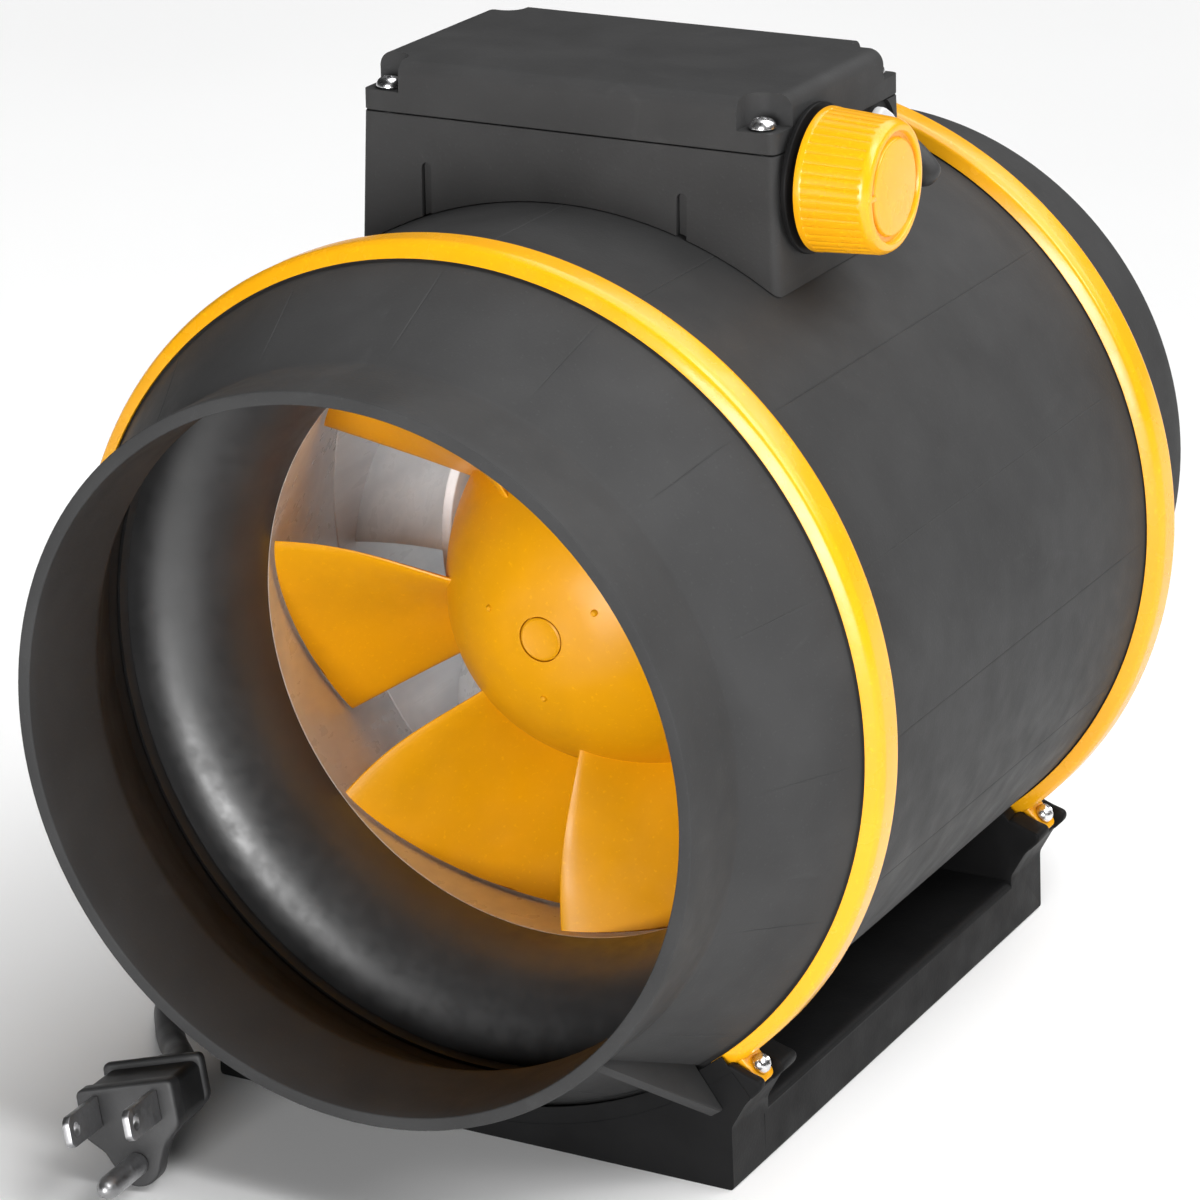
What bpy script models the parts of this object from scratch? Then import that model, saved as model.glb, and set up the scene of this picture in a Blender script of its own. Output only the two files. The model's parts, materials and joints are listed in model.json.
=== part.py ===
"""Inline duct fan with a cradle base, clamping bands, speed control box and mains lead.

The duct axis runs along Y, the inlet faces -Y and the base stands on Z = 0.
Sizes are written in millimetres and turned into metres where each mesh is made.
"""
import math

import bmesh
import bpy
from mathutils import Matrix, Vector

MM = 0.001
GAP = 0.3
AXIS_Z = 96.3                 # duct axis above the floor
HALF_LENGTH = 121.65
COLLAR_R = 75.0               # outside of the 150 mm spigots
COLLAR_END = 102.35           # where collar meets cone
WALL = 2.8
HOUSING_R = 88.5
BAND_Y = 71.45                # middle of each clamping band
BAND_R = 92.2
BAND_HALF = 5.2
BAND_END_DEG = -51.5
TAB_DEG = -49.9               # plane that the band tabs lie on
CRADLE_R = 88.85
BASE_HALF_X = 60.8
BASE_HALF_Y = 77.65
SADDLE_INNER_Y = 61.3
LEDGE_Z = 12.8
NOZZLE_LIP_Y = -67.65
THROAT_Y = -43.9
THROAT_R = 65.4
SHROUD_END_Y = 13.35
SHROUD_END_R = 84.0
STATOR_RING_R = 85.4
MOTOR_R = 50.0
BLADE_COUNT = 7
VANE_COUNT = 8
FIRST_BLADE_DEG = 169.7
BOX_HALF_Y = 28.65
BOX_SEAM_Z = 199.45
BOX_TOP_Z = 210.2
BOX_HALF_X = 47.0
BOX_WALL = 2.4
LID_SCREW_X = 42.5
LID_SCREW_Y = 25.15
KNOB_Y = -14.15
KNOB_Z = 192.0
SIDE_GLAND_Y = 17.85
SIDE_GLAND_Z = 192.2
LEAD_X = -33.0
LEAD_Z = 188.5
CORD_R = 3.1
COIL_CENTRE = (-108.0, 60.0)
COIL_LIFT = 1.0
PLUG_AT = (-49.2, -129.2, 17.3)
PLUG_YAW, PLUG_PITCH, PLUG_ROLL = 13.7, 10.0, 12.0
STEPS = 40

SPIN = {"X": Matrix.Rotation(math.pi / 2, 4, "Y"),
        "Y": Matrix.Rotation(-math.pi / 2, 4, "X"),
        "Z": Matrix.Identity(4)}

for old in list(bpy.data.objects):
    bpy.data.objects.remove(old)

PARTS = bpy.data.collections.new("inline_duct_fan")
CUTTERS = bpy.data.collections.new("cutters")
bpy.context.scene.collection.children.link(PARTS)
bpy.context.scene.collection.children.link(CUTTERS)


def material(name, colour, roughness, metallic=0.0):
    made = bpy.data.materials.new(name)
    made.use_nodes = True
    shader = made.node_tree.nodes["Principled BSDF"]
    shader.inputs["Base Color"].default_value = (*colour, 1.0)
    shader.inputs["Roughness"].default_value = roughness
    shader.inputs["Metallic"].default_value = metallic
    return made


CHARCOAL = material("charcoal_plastic", (0.065, 0.065, 0.068), 0.6)
BLACK = material("black_plastic", (0.02, 0.02, 0.022), 0.45)
NOZZLE = material("nozzle_black", (0.015, 0.015, 0.016), 0.25)
YELLOW = material("band_yellow", (1.0, 0.6, 0.02), 0.3)
ORANGE = material("impeller_orange", (0.93, 0.42, 0.02), 0.38)
SILVER = material("bright_sheet", (0.75, 0.76, 0.78), 0.3, 1.0)
STEEL = material("screw_steel", (0.7, 0.7, 0.7), 0.25, 1.0)
IRON = material("stator_iron", (0.25, 0.25, 0.26), 0.5, 1.0)
COPPER = material("copper_wire", (0.72, 0.33, 0.15), 0.35, 1.0)
MAGNET = material("magnet_grey", (0.12, 0.12, 0.13), 0.6)
BOARD = material("circuit_green", (0.02, 0.2, 0.06), 0.5)
PALE = material("pale_nylon", (0.75, 0.76, 0.76), 0.4)
RUBBER = material("cord_rubber", (0.03, 0.03, 0.03), 0.6)


def add(name, mesh, finish, matrix=None, collection=None):
    """Put a mesh in the scene as a named sub-part with its own material."""
    part = bpy.data.objects.new(name, mesh)
    mesh.materials.append(finish)
    mesh.shade_smooth()
    mesh.set_sharp_from_angle(angle=math.radians(30))
    part.matrix_world = matrix or Matrix.Identity(4)
    (collection or PARTS).objects.link(part)
    return part


def place(at, turn=None):
    return Matrix.Translation(Vector(at) * MM) @ (turn or Matrix.Identity(4))


def turned(name, profile, finish, spin="Y", at=(0, 0, AXIS_Z), steps=STEPS):
    """Spin a list of (radius, height) about an axis; both ends on the axis make it solid."""
    area = sum(a[0] * b[1] - b[0] * a[1] for a, b in zip(profile, profile[1:] + profile[:1]))
    points = profile if area < 0 else profile[::-1]
    on_axis = points[0][0] == 0 and points[-1][0] == 0
    while not on_axis and any(r == 0 for r, _ in points):
        points = points[1:] + points[:1]
        on_axis = points[0][0] == 0 and points[-1][0] == 0
    edges = [(i, i + 1) for i in range(len(points) - 1)]
    if not on_axis:
        edges.append((len(points) - 1, 0))
    mesh = bpy.data.meshes.new(name)
    mesh.from_pydata([(r * MM, 0, h * MM) for r, h in points], edges, [])
    part = add(name, mesh, finish, place(at, SPIN[spin]))
    screw = part.modifiers.new("turn", "SCREW")
    screw.steps = screw.render_steps = steps
    screw.use_merge_vertices = True
    screw.merge_threshold = 0.000001
    return part


def curve_solid(name, curve, finish, matrix):
    """Turn a filled or bevelled curve into a welded, closed mesh."""
    guide = bpy.data.objects.new(name + "_curve", curve)
    PARTS.objects.link(guide)
    guide.matrix_world = matrix
    graph = bpy.context.evaluated_depsgraph_get()
    mesh = bpy.data.meshes.new_from_object(guide.evaluated_get(graph))
    bpy.data.objects.remove(guide)
    shape = bmesh.new()
    shape.from_mesh(mesh)
    bmesh.ops.remove_doubles(shape, verts=shape.verts, dist=0.000001)
    bmesh.ops.recalc_face_normals(shape, faces=shape.faces)
    shape.to_mesh(mesh)
    shape.free()
    mesh.materials.clear()
    return add(name, mesh, finish, matrix)


def poly_spline(curve, points, cyclic):
    spline = curve.splines.new("POLY")
    spline.points.add(len(points) - 1)
    for knot, point in zip(spline.points, points):
        knot.co = (*[v * MM for v in point], 1)
    spline.use_cyclic_u = cyclic


def extruded(name, outline, low, high, finish, matrix=None):
    """Extrude a flat outline along local Z from low to high."""
    curve = bpy.data.curves.new(name, "CURVE")
    curve.dimensions = "2D"
    curve.fill_mode = "BOTH"
    curve.extrude = (high - low) / 2 * MM
    poly_spline(curve, [(x, y, 0) for x, y in outline], True)
    middle = Matrix.Translation((0, 0, (low + high) / 2 * MM))
    return curve_solid(name, curve, finish, (matrix or Matrix.Identity(4)) @ middle)


def tube(name, points, radius, finish, sides=3):
    curve = bpy.data.curves.new(name, "CURVE")
    curve.dimensions = "3D"
    curve.bevel_depth = radius * MM
    curve.bevel_resolution = sides
    curve.use_fill_caps = True
    poly_spline(curve, points, False)
    return curve_solid(name, curve, finish, Matrix.Identity(4))


def block(name, low, high, finish, matrix=None, bevel=0.0, segments=1, top=1.0):
    """A box from low to high; top scales its upper face, bevel rounds its edges."""
    mesh = bpy.data.meshes.new(name)
    shape = bmesh.new()
    bmesh.ops.create_cube(shape, size=1)
    size = Vector(high) - Vector(low)
    middle = (Vector(high) + Vector(low)) / 2
    for vert in shape.verts:
        spread = top if vert.co.z > 0 else 1.0
        vert.co = Vector((vert.co.x * size.x * spread, vert.co.y * size.y * spread, vert.co.z * size.z))
        vert.co = (vert.co + middle) * MM
    shape.to_mesh(mesh)
    shape.free()
    part = add(name, mesh, finish, matrix)
    if bevel:
        edge = part.modifiers.new("round", "BEVEL")
        edge.width = bevel * MM
        edge.segments = segments
    return part


def combine(part, tool, operation="DIFFERENCE", solver="EXACT"):
    """Cut or join a part with a tool object, which becomes a hidden guide."""
    step = part.modifiers.new(tool.name, "BOOLEAN")
    step.operation = operation
    step.solver = solver
    step.object = tool
    if tool.name in PARTS.objects:
        PARTS.objects.unlink(tool)
        CUTTERS.objects.link(tool)
    tool.hide_render = True
    tool.display_type = "WIRE"


def sheets(name, surface, copies, rows, columns, thickness, finish):
    """Thick curved plates: surface(copy, u, v) gives a point of each open grid."""
    points, faces = [], []
    for copy in range(copies):
        first = len(points)
        points += [Vector(surface(copy, i / rows, j / columns)) * MM
                   for i in range(rows + 1) for j in range(columns + 1)]
        faces += [(first + i * (columns + 1) + j, first + i * (columns + 1) + j + 1,
                   first + (i + 1) * (columns + 1) + j + 1, first + (i + 1) * (columns + 1) + j)
                  for i in range(rows) for j in range(columns)]
    mesh = bpy.data.meshes.new(name)
    mesh.from_pydata(points, [], faces)
    part = add(name, mesh, finish, place((0, 0, AXIS_Z)))
    skin = part.modifiers.new("thickness", "SOLIDIFY")
    skin.thickness = thickness * MM
    skin.offset = 0
    return part


def along(table, value):
    """Read a piecewise straight table of (x, y) pairs at x = value."""
    for (x0, y0), (x1, y1) in zip(table, table[1:]):
        if value <= x1:
            return y0 + (y1 - y0) * (value - x0) / (x1 - x0)
    return table[-1][1]


def polar(radius, degrees, y=0.0):
    angle = math.radians(degrees)
    return radius * math.cos(angle), y, radius * math.sin(angle)


def radial_frame(degrees, y, mirror=1):
    """A frame on the duct axis: X outward at an angle, Y tangential (upward), Z along the duct."""
    angle = math.radians(degrees)
    outward = Vector((mirror * math.cos(angle), 0, math.sin(angle)))
    upward = Vector((-mirror * math.sin(angle), 0, math.cos(angle)))
    along_duct = outward.cross(upward)
    frame = Matrix((outward, upward, along_duct)).transposed().to_4x4()
    return place((0, y, AXIS_Z)) @ frame


# ---------------------------------------------------------------- housing
def end_shell(name, turn):
    """Collar, cone and clamp flange; turn is 0 for the inlet and pi for the outlet."""
    profile = [(90.6, -71.6), (90.6, -74.0), (88.5, -75.4), (88.0, -76.9), (COLLAR_R, -COLLAR_END),
               (COLLAR_R, -HALF_LENGTH + 0.6), (COLLAR_R - 0.6, -HALF_LENGTH),
               (COLLAR_R - WALL + 0.5, -HALF_LENGTH), (COLLAR_R - WALL, -HALF_LENGTH + 0.6),
               (COLLAR_R - WALL, -97.65), (85.0, -74.6), (85.0, -71.6)]
    shell = turned(name, profile, CHARCOAL)
    shell.matrix_world = Matrix.Rotation(turn, 4, "Z") @ shell.matrix_world
    for side in (1, -1):
        rib = [(73.6, -104.0), (76.2, -103.2), (98.0, -79.2), (98.0, -77.95), (85.4, -77.95)]
        frame = radial_frame(-54, 0, side) @ Matrix.Rotation(math.pi / 2, 4, "X")
        outline = rib if side == -1 else [(r, -y) for r, y in rib]
        fin = extruded(f"{name}_fin_{side}", outline, -1.2, 1.2, CHARCOAL, frame)
        if turn:
            fin.matrix_world = Matrix.Rotation(turn, 4, "Z") @ fin.matrix_world
        combine(shell, fin, "UNION")
    return shell


def centre_housing():
    half = [(HOUSING_R, 67.4), (90.6, 69.0), (90.6, 71.3), (85.7, 71.3)]
    profile = half + [(r, -y) for r, y in reversed(half)]
    housing = turned("centre_housing", profile, CHARCOAL)
    wire_way = turned("wire_way", [(0, 174), (5, 174), (5, 192), (0, 192)], CHARCOAL, "Z", (0, 0, 0), 16)
    combine(housing, wire_way)
    return housing


def band(name, y):
    """Channel-shaped clamping strip over the top of the flanges, with a tab at each end."""
    outer = [(88.85, BAND_HALF), (91.5, 4.1), (BAND_R, 2.7)]
    inner = [(90.95, 3.0), (88.85, 4.1)]
    profile = outer + [(r, -h) for r, h in reversed(outer)] + [(r, -h) for r, h in reversed(inner)] + inner
    strip = turned(name, profile, YELLOW, at=(0, y, AXIS_Z))
    reach = 2 * BAND_R
    left, right = polar(reach, 180 - BAND_END_DEG), polar(reach, BAND_END_DEG)
    wedge = [(0, 0), (right[0], -right[2]), (left[0], -left[2])]
    frame = place((0, y, AXIS_Z), Matrix.Rotation(-math.pi / 2, 4, "X"))
    combine(strip, extruded(name + "_gap", wedge, -8, 8, YELLOW, frame))
    for side in (1, -1):
        tab = [(91.2, 0.3), (100.0, 0.3), (101.2, 0.9), (101.2, 1.9), (91.2, 1.9)]
        plate = extruded(f"{name}_tab_{side}", tab, -3.4, 3.4, YELLOW, radial_frame(TAB_DEG, y, side))
        combine(strip, plate, "UNION")
        hole = radial_frame(TAB_DEG, y, side) @ place((95.9, 0, 0)) @ SPIN["Z"]
        drill = turned(f"{name}_hole_{side}", [(0, -4), (2.1, -4), (2.1, 5), (0, 5)], YELLOW, steps=12)
        drill.matrix_world = hole @ Matrix.Rotation(-math.pi / 2, 4, "X")
        combine(strip, drill)
    return strip


def band_screw(name, y, side):
    head = [(0, 4.5), (1.6, 4.3), (2.8, 3.5), (3.2, 2.25), (1.75, 2.2), (1.75, -8.5), (0, -8.5)]
    screw = turned(name, head, STEEL, steps=12)
    frame = radial_frame(TAB_DEG, y, side) @ place((95.9, 0, 0))
    screw.matrix_world = frame @ Matrix.Rotation(-math.pi / 2, 4, "X")
    return screw


def mounting_base():
    """Cradle tray: two saddles with ears for the band tabs, joined by a lower bed."""
    top_in, top_out = polar(86, TAB_DEG), polar(100.6, TAB_DEG)
    right = [(BASE_HALF_X, 0), (BASE_HALF_X - 0.4, 14.0), (top_out[0] - 1.2, AXIS_Z + top_out[2] - 1.4),
             (top_out[0], AXIS_Z + top_out[2]), (top_in[0], AXIS_Z + top_in[2])]
    outline = right + [(-x, z) for x, z in reversed(right)]
    upright = Matrix.Rotation(math.pi / 2, 4, "X")
    base = block("mounting_base", (-BASE_HALF_X, -SADDLE_INNER_Y - 1, 0), (BASE_HALF_X, SADDLE_INNER_Y + 1, LEDGE_Z),
                 BLACK, bevel=0, top=0.995)
    rounding = base.modifiers.new("round", "BEVEL")
    rounding.width = 2.4 * MM
    rounding.segments = 2
    for end in (-1, 1):
        low, high = sorted((-end * SADDLE_INNER_Y, -end * BASE_HALF_Y))
        saddle = extruded(f"saddle_{end}", outline, low, high, BLACK, upright)
        combine(base, saddle, "UNION")
        for side in (1, -1):
            for inner, outer in ((-end * (BAND_Y + 3.9), -end * BASE_HALF_Y),
                                 (-end * (BAND_Y - 3.9), -end * SADDLE_INNER_Y)):
                ear = [(93.0, -3), (93.0, 1.6), (94.2, 2.3), (98.8, 2.3), (101.0, 0.8), (101.2, -1.6),
                       (99.4, -4.4), (96.5, -6)]
                low, high = sorted((-inner, -outer))
                frame = radial_frame(TAB_DEG, 0, side)
                if side == 1:
                    low, high = -high, -low
                lug = extruded(f"ear_{end}_{side}_{abs(outer):.0f}", ear, low, high, BLACK, frame)
                combine(base, lug, "UNION")
    groove = [(CRADLE_R, BAND_Y + 5.7), (BAND_R + 0.35, BAND_Y + 5.7), (BAND_R + 0.35, BAND_Y - 5.7),
              (CRADLE_R, BAND_Y - 5.7)]
    bed = [(0, 80), (CRADLE_R, 80)] + groove + [(r, -y) for r, y in reversed(groove)] + [(CRADLE_R, -80), (0, -80)]
    combine(base, turned("cradle_cut", bed, BLACK))
    for x in (-48.0, -34.0, 34.0, 48.0):
        pocket = block(f"underside_{x:.0f}", (x - 5.5, -52, -1), (x + 5.5, 52, 4.0 if abs(x) < 40 else 8.5), BLACK)
        combine(base, pocket)
    for end in (-1, 1):
        for side in (1, -1):
            bore = turned(f"screw_bore_{end}_{side}", [(0, 2), (2.1, 2), (2.1, -10), (0, -10)], BLACK, steps=12)
            frame = radial_frame(TAB_DEG, end * BAND_Y, side) @ place((95.9, 0, 0))
            bore.matrix_world = frame @ Matrix.Rotation(-math.pi / 2, 4, "X")
            combine(base, bore)
    return base


# ---------------------------------------------------------------- air path
def nozzle_curve(offset, count=5):
    """Quarter ellipse from the nozzle's lip to its throat, moved outward by offset."""
    points = []
    for i in range(count + 1):
        angle = math.pi / 2 * i / count
        across = 85.2 - (85.2 - THROAT_R - offset) * math.sin(angle)
        back = THROAT_Y - (THROAT_Y - NOZZLE_LIP_Y - offset) * math.cos(angle)
        points.append((across, back))
    return points


def inlet_nozzle():
    front = nozzle_curve(0.0)
    rear = nozzle_curve(1.5)
    rim = [(85.4, -66.0), (85.4, -70.6), (84.9, -70.6), (84.9, -67.8)]
    return turned("inlet_nozzle", rim + front[1:] + rear[::-1][:-1], NOZZLE)


def impeller_shroud():
    start = THROAT_Y + GAP
    profile = [(THROAT_R, start), (SHROUD_END_R, SHROUD_END_Y), (STATOR_RING_R, SHROUD_END_Y),
               (THROAT_R + 1.5, start)]
    return turned("impeller_shroud", profile, SILVER)


def wall_radius(y):
    return along([(THROAT_Y, THROAT_R), (SHROUD_END_Y, SHROUD_END_R)], y)


HUB = [(-43.35, 4.9), (-43.1, 6.5), (-41.65, 13.5), (-37.65, 21.5), (-31.65, 28.0), (-25.65, 32.5),
       (-16.65, 37.5), (-6.65, 41.5), (6.35, 45.0)]


def blade_point(copy, span, chord):
    """Point of a blade: chord runs from leading to trailing edge, span from hub to tip."""
    root_y = -30.65 + 31.0 * chord ** 1.1
    tip_y = -42.65 + 30.0 * chord ** 1.2
    root_r = along(HUB, root_y) - 1.6
    tip_r = wall_radius(tip_y) - 0.9
    sweep = (1.0 - span) * (1.0 + 38.0 * chord) + span * 40.0 * chord
    bow = 2.2 * math.sin(math.pi * span) * (1.0 - chord)
    degrees = FIRST_BLADE_DEG + copy * 360.0 / BLADE_COUNT + sweep - bow
    return polar(root_r + (tip_r - root_r) * span, degrees, root_y + (tip_y - root_y) * span)


def impeller():
    outside = [(r, y) for y, r in HUB]
    inside = [(42.6, 6.35), (39.1, -6.65), (35.2, -16.3), (29.8, -25.65), (24.5, -31.65), (12.0, -38.2),
              (12.0, -17.4), (0, -17.4)]
    fan = turned("impeller", [(0, -42.0), (4.9, -42.0)] + outside + inside, ORANGE, steps=35)
    blades = sheets("blades", blade_point, BLADE_COUNT, 4, 5, 2.0, ORANGE)
    combine(fan, blades, "UNION")
    return fan


def vane_point(copy, span, chord):
    """Point of a guide vane, leaning with the swirl at its front and axial at its back."""
    lead_y = 4.0 + 17.0 * span
    y = lead_y + (52.0 - lead_y) * chord
    lean = -20.0 * (1.0 - (1.0 - chord) ** 2)
    degrees = 184.0 + copy * 360.0 / VANE_COUNT + lean + 4.0 * span
    return polar(MOTOR_R - 1.1 + (STATOR_RING_R - 0.6 - MOTOR_R + 1.1) * span, degrees, y)


def guide_vane_stator():
    start = SHROUD_END_Y + GAP
    ring = [(STATOR_RING_R, start), (STATOR_RING_R, 58.0), (83.9, 58.0), (83.9, start)]
    stator = turned("guide_vane_stator", ring, SILVER)
    sleeve = [(MOTOR_R, 2.35), (MOTOR_R, 54.0), (47.6, 54.0), (47.6, 2.35)]
    combine(stator, turned("vane_sleeve", sleeve, SILVER), "UNION")
    combine(stator, sheets("vanes", vane_point, VANE_COUNT, 3, 4, 1.6, SILVER), "UNION")
    return stator


# ---------------------------------------------------------------- motor
def motor():
    turned("motor_housing", [(MOTOR_R, 54.3), (48.6, 66.0), (43.0, 78.0), (31.0, 87.0), (14.0, 91.0), (0, 91.5),
                             (0, 89.3), (13.4, 88.8), (29.6, 85.0), (41.0, 76.6), (46.6, 65.4), (48.0, 54.3)],
           BLACK, steps=28)
    turned("motor_flange", [(8.2, -10.5), (8.2, 26.0), (47.2, 26.0), (47.2, 29.0), (6.1, 29.0), (6.1, -10.5)],
           SILVER, steps=24)
    turned("rotor_can", [(34.0, 22.0), (34.0, -17.0), (2.8, -17.0), (2.8, -11.0), (5.5, -11.0), (5.5, -15.0),
                         (31.6, -15.0), (31.6, 22.0)], IRON, steps=24)
    turned("magnet_ring", [(31.2, 18.0), (31.2, -10.0), (28.4, -10.0), (28.4, 18.0)], MAGNET, steps=24)
    turned("stator_core", [(27.6, 14.0), (27.6, -6.0), (8.6, -6.0), (8.6, 14.0)], IRON, steps=24)
    for name, start in (("winding_front", -10.0), ("winding_rear", 14.3)):
        turned(name, [(24.5, start + 1), (23.0, start), (13.0, start), (11.5, start + 1), (11.5, start + 3.7),
                      (24.5, start + 3.7)], COPPER, steps=16)
    for name, start in (("bearing_front", -10.0), ("bearing_rear", 19.0)):
        turned(name, [(5.8, start), (5.8, start + 5), (2.85, start + 5), (2.85, start)], STEEL, steps=16)
    turned("rotor_shaft", [(0, -16.8), (2.1, -16.8), (2.5, -16.3), (2.5, 26.0), (0, 26.0)], STEEL, steps=12)
    turned("control_board", [(44.0, 34.6), (44.0, 33.0), (9.0, 33.0), (9.0, 34.6)], BOARD, steps=20)
    turned("impeller_nose_cap", [(0, -43.4), (4.2, -43.35), (4.6, -43.0), (4.6, -42.3), (0, -42.3)], ORANGE, steps=20)


# ---------------------------------------------------------------- control box
def corner_posts(name, radius, low, high):
    """Four upright cylinders at the lid screws, as one tool object."""
    mesh = bpy.data.meshes.new(name)
    shape = bmesh.new()
    for x in (-LID_SCREW_X, LID_SCREW_X):
        for y in (-LID_SCREW_Y, LID_SCREW_Y):
            spot = Matrix.Translation(Vector((x, y, (low + high) / 2)) * MM)
            bmesh.ops.create_cone(shape, cap_ends=True, segments=16, radius1=radius * MM, radius2=radius * MM,
                                  depth=(high - low) * MM, matrix=spot)
    shape.to_mesh(mesh)
    shape.free()
    return add(name, mesh, CHARCOAL)


def side_drill(name, radius, y, z, low, high):
    return turned(name, [(0, low), (radius, low), (radius, high), (0, high)], CHARCOAL, "X", (0, y, z), 20)


def control_box():
    low = 164.0
    spread = 1.5
    box = block("control_box", (-BOX_HALF_X - spread, -BOX_HALF_Y - 0.4, low),
                (BOX_HALF_X + spread, BOX_HALF_Y + 0.4, BOX_SEAM_Z - GAP / 2), CHARCOAL,
                top=BOX_HALF_X / (BOX_HALF_X + spread))
    corners = box.modifiers.new("round", "BEVEL")
    corners.width = 1.8 * MM
    corners.segments = 2
    combine(box, block("box_top_trim", (-60, -40, BOX_SEAM_Z - 2.2), (60, 40, 206), CHARCOAL))
    rim = block("box_rim", (-BOX_HALF_X, -BOX_HALF_Y + 0.45, BOX_SEAM_Z - 3),
                (BOX_HALF_X, BOX_HALF_Y - 0.45, BOX_SEAM_Z - GAP / 2), CHARCOAL)
    combine(box, rim, "UNION")
    cavity = block("box_cavity", (-BOX_HALF_X + 1.6, -BOX_HALF_Y + BOX_WALL, low - 5),
                   (BOX_HALF_X - 1.6, BOX_HALF_Y - BOX_WALL, 206), CHARCOAL, top=0.985)
    floor = [(0, 40), (91.3, 40), (91.3, -40), (0, -40)]
    combine(cavity, turned("box_floor", floor, CHARCOAL))
    combine(cavity, corner_posts("box_posts", 4.6, low - 8, 208))
    combine(box, cavity)
    seat = [(0, 50), (88.8, 50), (88.8, -50), (0, -50)]
    combine(box, turned("housing_seat", seat, CHARCOAL))
    combine(box, corner_posts("box_pilot_holes", 1.9, BOX_SEAM_Z - 11, BOX_SEAM_Z + 3))
    combine(box, side_drill("knob_hole", 3.9, KNOB_Y, KNOB_Z, 42, 52))
    combine(box, side_drill("gland_recess", 8.8, SIDE_GLAND_Y, SIDE_GLAND_Z, 46.6, 52))
    combine(box, side_drill("gland_hole", 3.8, SIDE_GLAND_Y, SIDE_GLAND_Z, 42, 52))
    lead_hole = turned("lead_hole", [(0, 22), (4.3, 22), (4.3, 34), (0, 34)], CHARCOAL, "Y", (LEAD_X, 0, LEAD_Z), 16)
    combine(box, lead_hole)
    return box


def control_box_lid():
    mesh = bpy.data.meshes.new("control_box_lid")
    shape = bmesh.new()
    bmesh.ops.create_cube(shape, size=1)
    bottom, top = BOX_SEAM_Z + GAP / 2, BOX_TOP_Z
    for vert in shape.verts:
        inset = 0.35 if vert.co.z > 0 else 0.0
        vert.co.x = math.copysign(BOX_HALF_X - inset, vert.co.x) * MM
        vert.co.y = math.copysign(BOX_HALF_Y - inset, vert.co.y) * MM
        vert.co.z = (top if vert.co.z > 0 else bottom) * MM
    upright = [e for e in shape.edges if abs(e.verts[0].co.z - e.verts[1].co.z) > MM]
    bmesh.ops.bevel(shape, geom=upright, offset=1.8 * MM, segments=2, affect="EDGES", profile=0.5)
    rim = [e for e in shape.edges if min(v.co.z for v in e.verts) > (top - 0.1) * MM]
    bmesh.ops.bevel(shape, geom=rim, offset=2.9 * MM, segments=3, affect="EDGES", profile=0.5)
    shape.to_mesh(mesh)
    shape.free()
    lid = add("control_box_lid", mesh, CHARCOAL)
    hollow = block("lid_hollow", (-BOX_HALF_X + BOX_WALL, -BOX_HALF_Y + BOX_WALL, bottom - 3),
                   (BOX_HALF_X - BOX_WALL, BOX_HALF_Y - BOX_WALL, top - 2.6), CHARCOAL)
    combine(hollow, corner_posts("lid_posts", 5.4, bottom - 5, top))
    combine(lid, hollow)
    combine(lid, corner_posts("lid_pockets", 3.7, 202.6, top + 3), solver="MANIFOLD")
    combine(lid, corner_posts("lid_screw_holes", 1.9, bottom - 2, 204), solver="MANIFOLD")
    return lid


def lid_screw(name, x, y):
    head = [(0, 204.9), (1.5, 204.7), (2.5, 204.0), (2.8, 202.95), (1.55, 202.9), (1.55, 191.0), (0, 191.0)]
    return turned(name, head, STEEL, "Z", (x, y, 0), 12)


def controls():
    """Speed knob on its spindle, dial plate, and the pieces inside the box."""
    knob = turned("speed_knob", [(14.6, 0), (14.4, 1.0), (13.5, 14.4), (12.6, 15.6), (11.0, 15.7), (10.6, 15.2),
                                 (9.6, 15.2), (9.2, 15.7), (0, 15.7), (0, 10.3), (3.4, 10.3), (3.4, 0)],
                  YELLOW, "X", (49.7, KNOB_Y, KNOB_Z), 28)
    mark = block("knob_mark", (-0.6, 9.0, 14.0), (0.6, 13.2, 16.1), YELLOW, place((49.7, KNOB_Y, KNOB_Z), SPIN["X"]))
    combine(knob, mark, "UNION")
    dial = turned("dial_plate", [(15.2, 0), (15.2, 1.2), (4.2, 1.2), (4.2, 0)], BLACK, "X",
                  (48.1, KNOB_Y, KNOB_Z), 24)
    spindle = turned("potentiometer_spindle", [(0, 0), (2.8, 0), (3.0, 0.4), (3.0, 20.0), (0, 20.0)], STEEL, "X",
                     (39.5, KNOB_Y, KNOB_Z), 20)
    body = turned("speed_potentiometer", [(8.0, 30.5), (8.0, 39.0), (5.0, 39.2), (5.0, 30.5)], IRON, "X",
                  (0, KNOB_Y, KNOB_Z), 20)
    return knob, dial, spindle, body


def box_contents():
    turned("capacitor", [(0, -20), (6.5, -20), (7.0, -19.5), (7.0, 13.5), (6.5, 14), (0, 14)], BLACK, "X",
           (0, 14.0, 195.4), 20)
    block("terminal_block", (-20, -16, 190), (14, -6, 199), PALE, bevel=0.5)
    corners = [math.pi / 6 + math.pi / 3 * i for i in range(6)]
    hexagon = [(8.2 * math.cos(a), 8.2 * math.sin(a)) for a in corners]
    place_nut = place((0, SIDE_GLAND_Y, SIDE_GLAND_Z), SPIN["X"])
    nut = extruded("side_gland_nut", hexagon, 46.95, 50.8, PALE, place_nut)
    combine(nut, side_drill("nut_bore", 4.0, SIDE_GLAND_Y, SIDE_GLAND_Z, 40, 60))
    route = [(43.6, 192.2), (49.6, 192.2), (52.6, 191.5), (55.7, 189.6), (58.6, 187.0)]
    tube("side_gland_plug", [(x, SIDE_GLAND_Y, z) for x, z in route], 3.4, RUBBER)


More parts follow.
